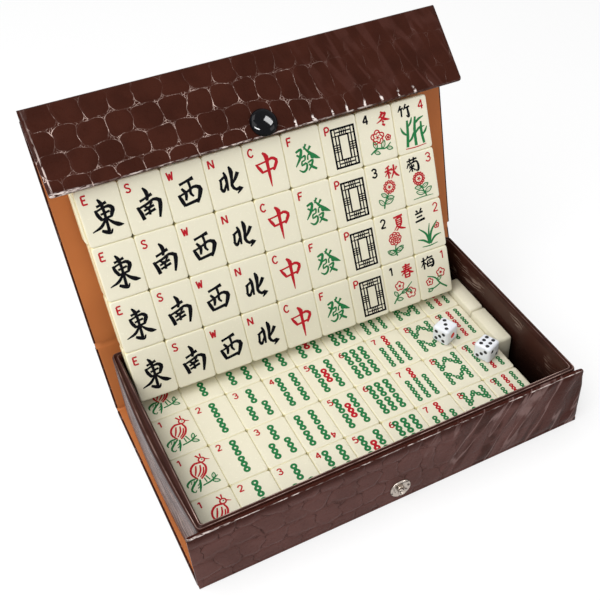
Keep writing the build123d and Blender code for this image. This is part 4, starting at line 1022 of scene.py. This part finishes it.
spun("socket_ring", [(2.8, 0), (6.0, 0), (6.0, .95), (5.6, 1.35), (4.2, 1.45), (3.9, 2.1), (3.3, 2.4), (2.8, 1.9)],
     flap_foot - flap_out * HALF, -flap_out, nickel, "flap", "snap_socket")

# ---- studio ---------------------------------------------------------------------------
# Sheet of white paper under soft light from high on the left and from the front.
bpy.ops.mesh.primitive_plane_add(size=6, location=(0, 0, -0.0002))
floor = bpy.context.object
floor.name = "floor"


def seen_plain(add):
    """One for the rays that see a plain background: the camera's, and those that gloss and glass send on."""
    camera, glossy, through_glass = (add("ShaderNodeLightPath", out=f"Is {kind} Ray")
                                     for kind in ("Camera", "Glossy", "Transmission"))
    return camera.peak(glossy.peak(through_glass))


# to those rays two thirds of the paper is plain white, so that the soft shadow stays faint
add, coat = new_material("white paper")
plain = add("ShaderNodeEmission", {"Color": (1, 1, 1, 1), "Strength": 1.0})
floor.data.materials.append(coat((0.92, 0.92, 0.92, 1), 0.9, 0.1, over=lambda skin: add(
    "ShaderNodeMixShader", {0: seen_plain(add) * 0.65, 1: skin, 2: plain})))


def lamp(name, place, aim, size, watts):
    """Rectangular panel that faces its aim."""
    data = bpy.data.lights.new(name, "AREA")
    data.shape, data.size, data.size_y, data.energy = "RECTANGLE", *size, watts
    obj = bpy.data.objects.new(name, data)
    bpy.context.scene.collection.objects.link(obj)
    z = np.subtract(place, aim)
    z /= np.linalg.norm(z)
    x = np.cross((0, 0, 1.0), z)
    x /= np.linalg.norm(x)
    obj.matrix_world = Matrix([*np.column_stack([x, np.cross(z, x), z, place]).tolist(), [0, 0, 0, 1]])
    return obj


lamp("key_panel", (-0.82, -0.38, 0.98), (0, 0.02, 0.06), (0.9, 0.9), 10.8)
lamp("right_panel", (0.80, -0.80, 0.50), (0.05, 0.05, 0.08), (0.5, 0.5), 3.0)
lamp("top_panel", (-0.42, 0.22, 1.15), (0, 0, 0.05), (0.5, 0.5), 4.4)
# two panels that only the black cap mirrors: a tall one above it and a long low one at the left
cap_only = bpy.data.collections.new("cap_only")
cap_only.objects.link(bpy.data.objects["cap_dome"])
for shine in (lamp("glint_panel", (0.61, -0.41, 1.05), (0, 0.08, 0.15), (0.36, 0.58), 42.0),
              lamp("low_glint_panel", (-0.52, -0.66, 0.78), (0, 0.08, 0.15), (0.60, 0.14), 40.0)):
    shine.visible_diffuse = False
    shine.light_linking.receiver_collection = cap_only
world = bpy.data.worlds.new("white room")
bpy.context.scene.world = world
world.use_nodes = True
world.node_tree.nodes.clear()
add = node_maker(world.node_tree)
soft, white = (add("ShaderNodeBackground", {"Color": (1, 1, 1, 1), "Strength": strength}) for strength in (0.58, 1.0))
add("ShaderNodeOutputWorld", {0: add("ShaderNodeMixShader", {0: seen_plain(add), 1: soft, 2: white})})

# ---- camera ---------------------------------------------------------------------------
# Held above the left front corner, looking down across the open tray at the leaning wall.
scene = bpy.context.scene
lens = bpy.data.cameras.new("camera")
camera = bpy.data.objects.new("camera", lens)
scene.collection.objects.link(camera)
eye = (-0.15224, -0.31633, 0.40548)
right, up, back = (0.8803, -0.47436, -0.00725), (0.3435, 0.62676, 0.69941), (-0.32723, -0.61818, 0.71469)
camera.matrix_world = Matrix([*zip(right, up, back, eye), (0, 0, 0, 1)])
lens.lens, lens.sensor_width, lens.clip_start = 55.43, 36.0, 0.01
lens.shift_x, lens.shift_y = -0.1156, 0.0966
scene.camera = camera
scene.view_settings.view_transform = "Standard"
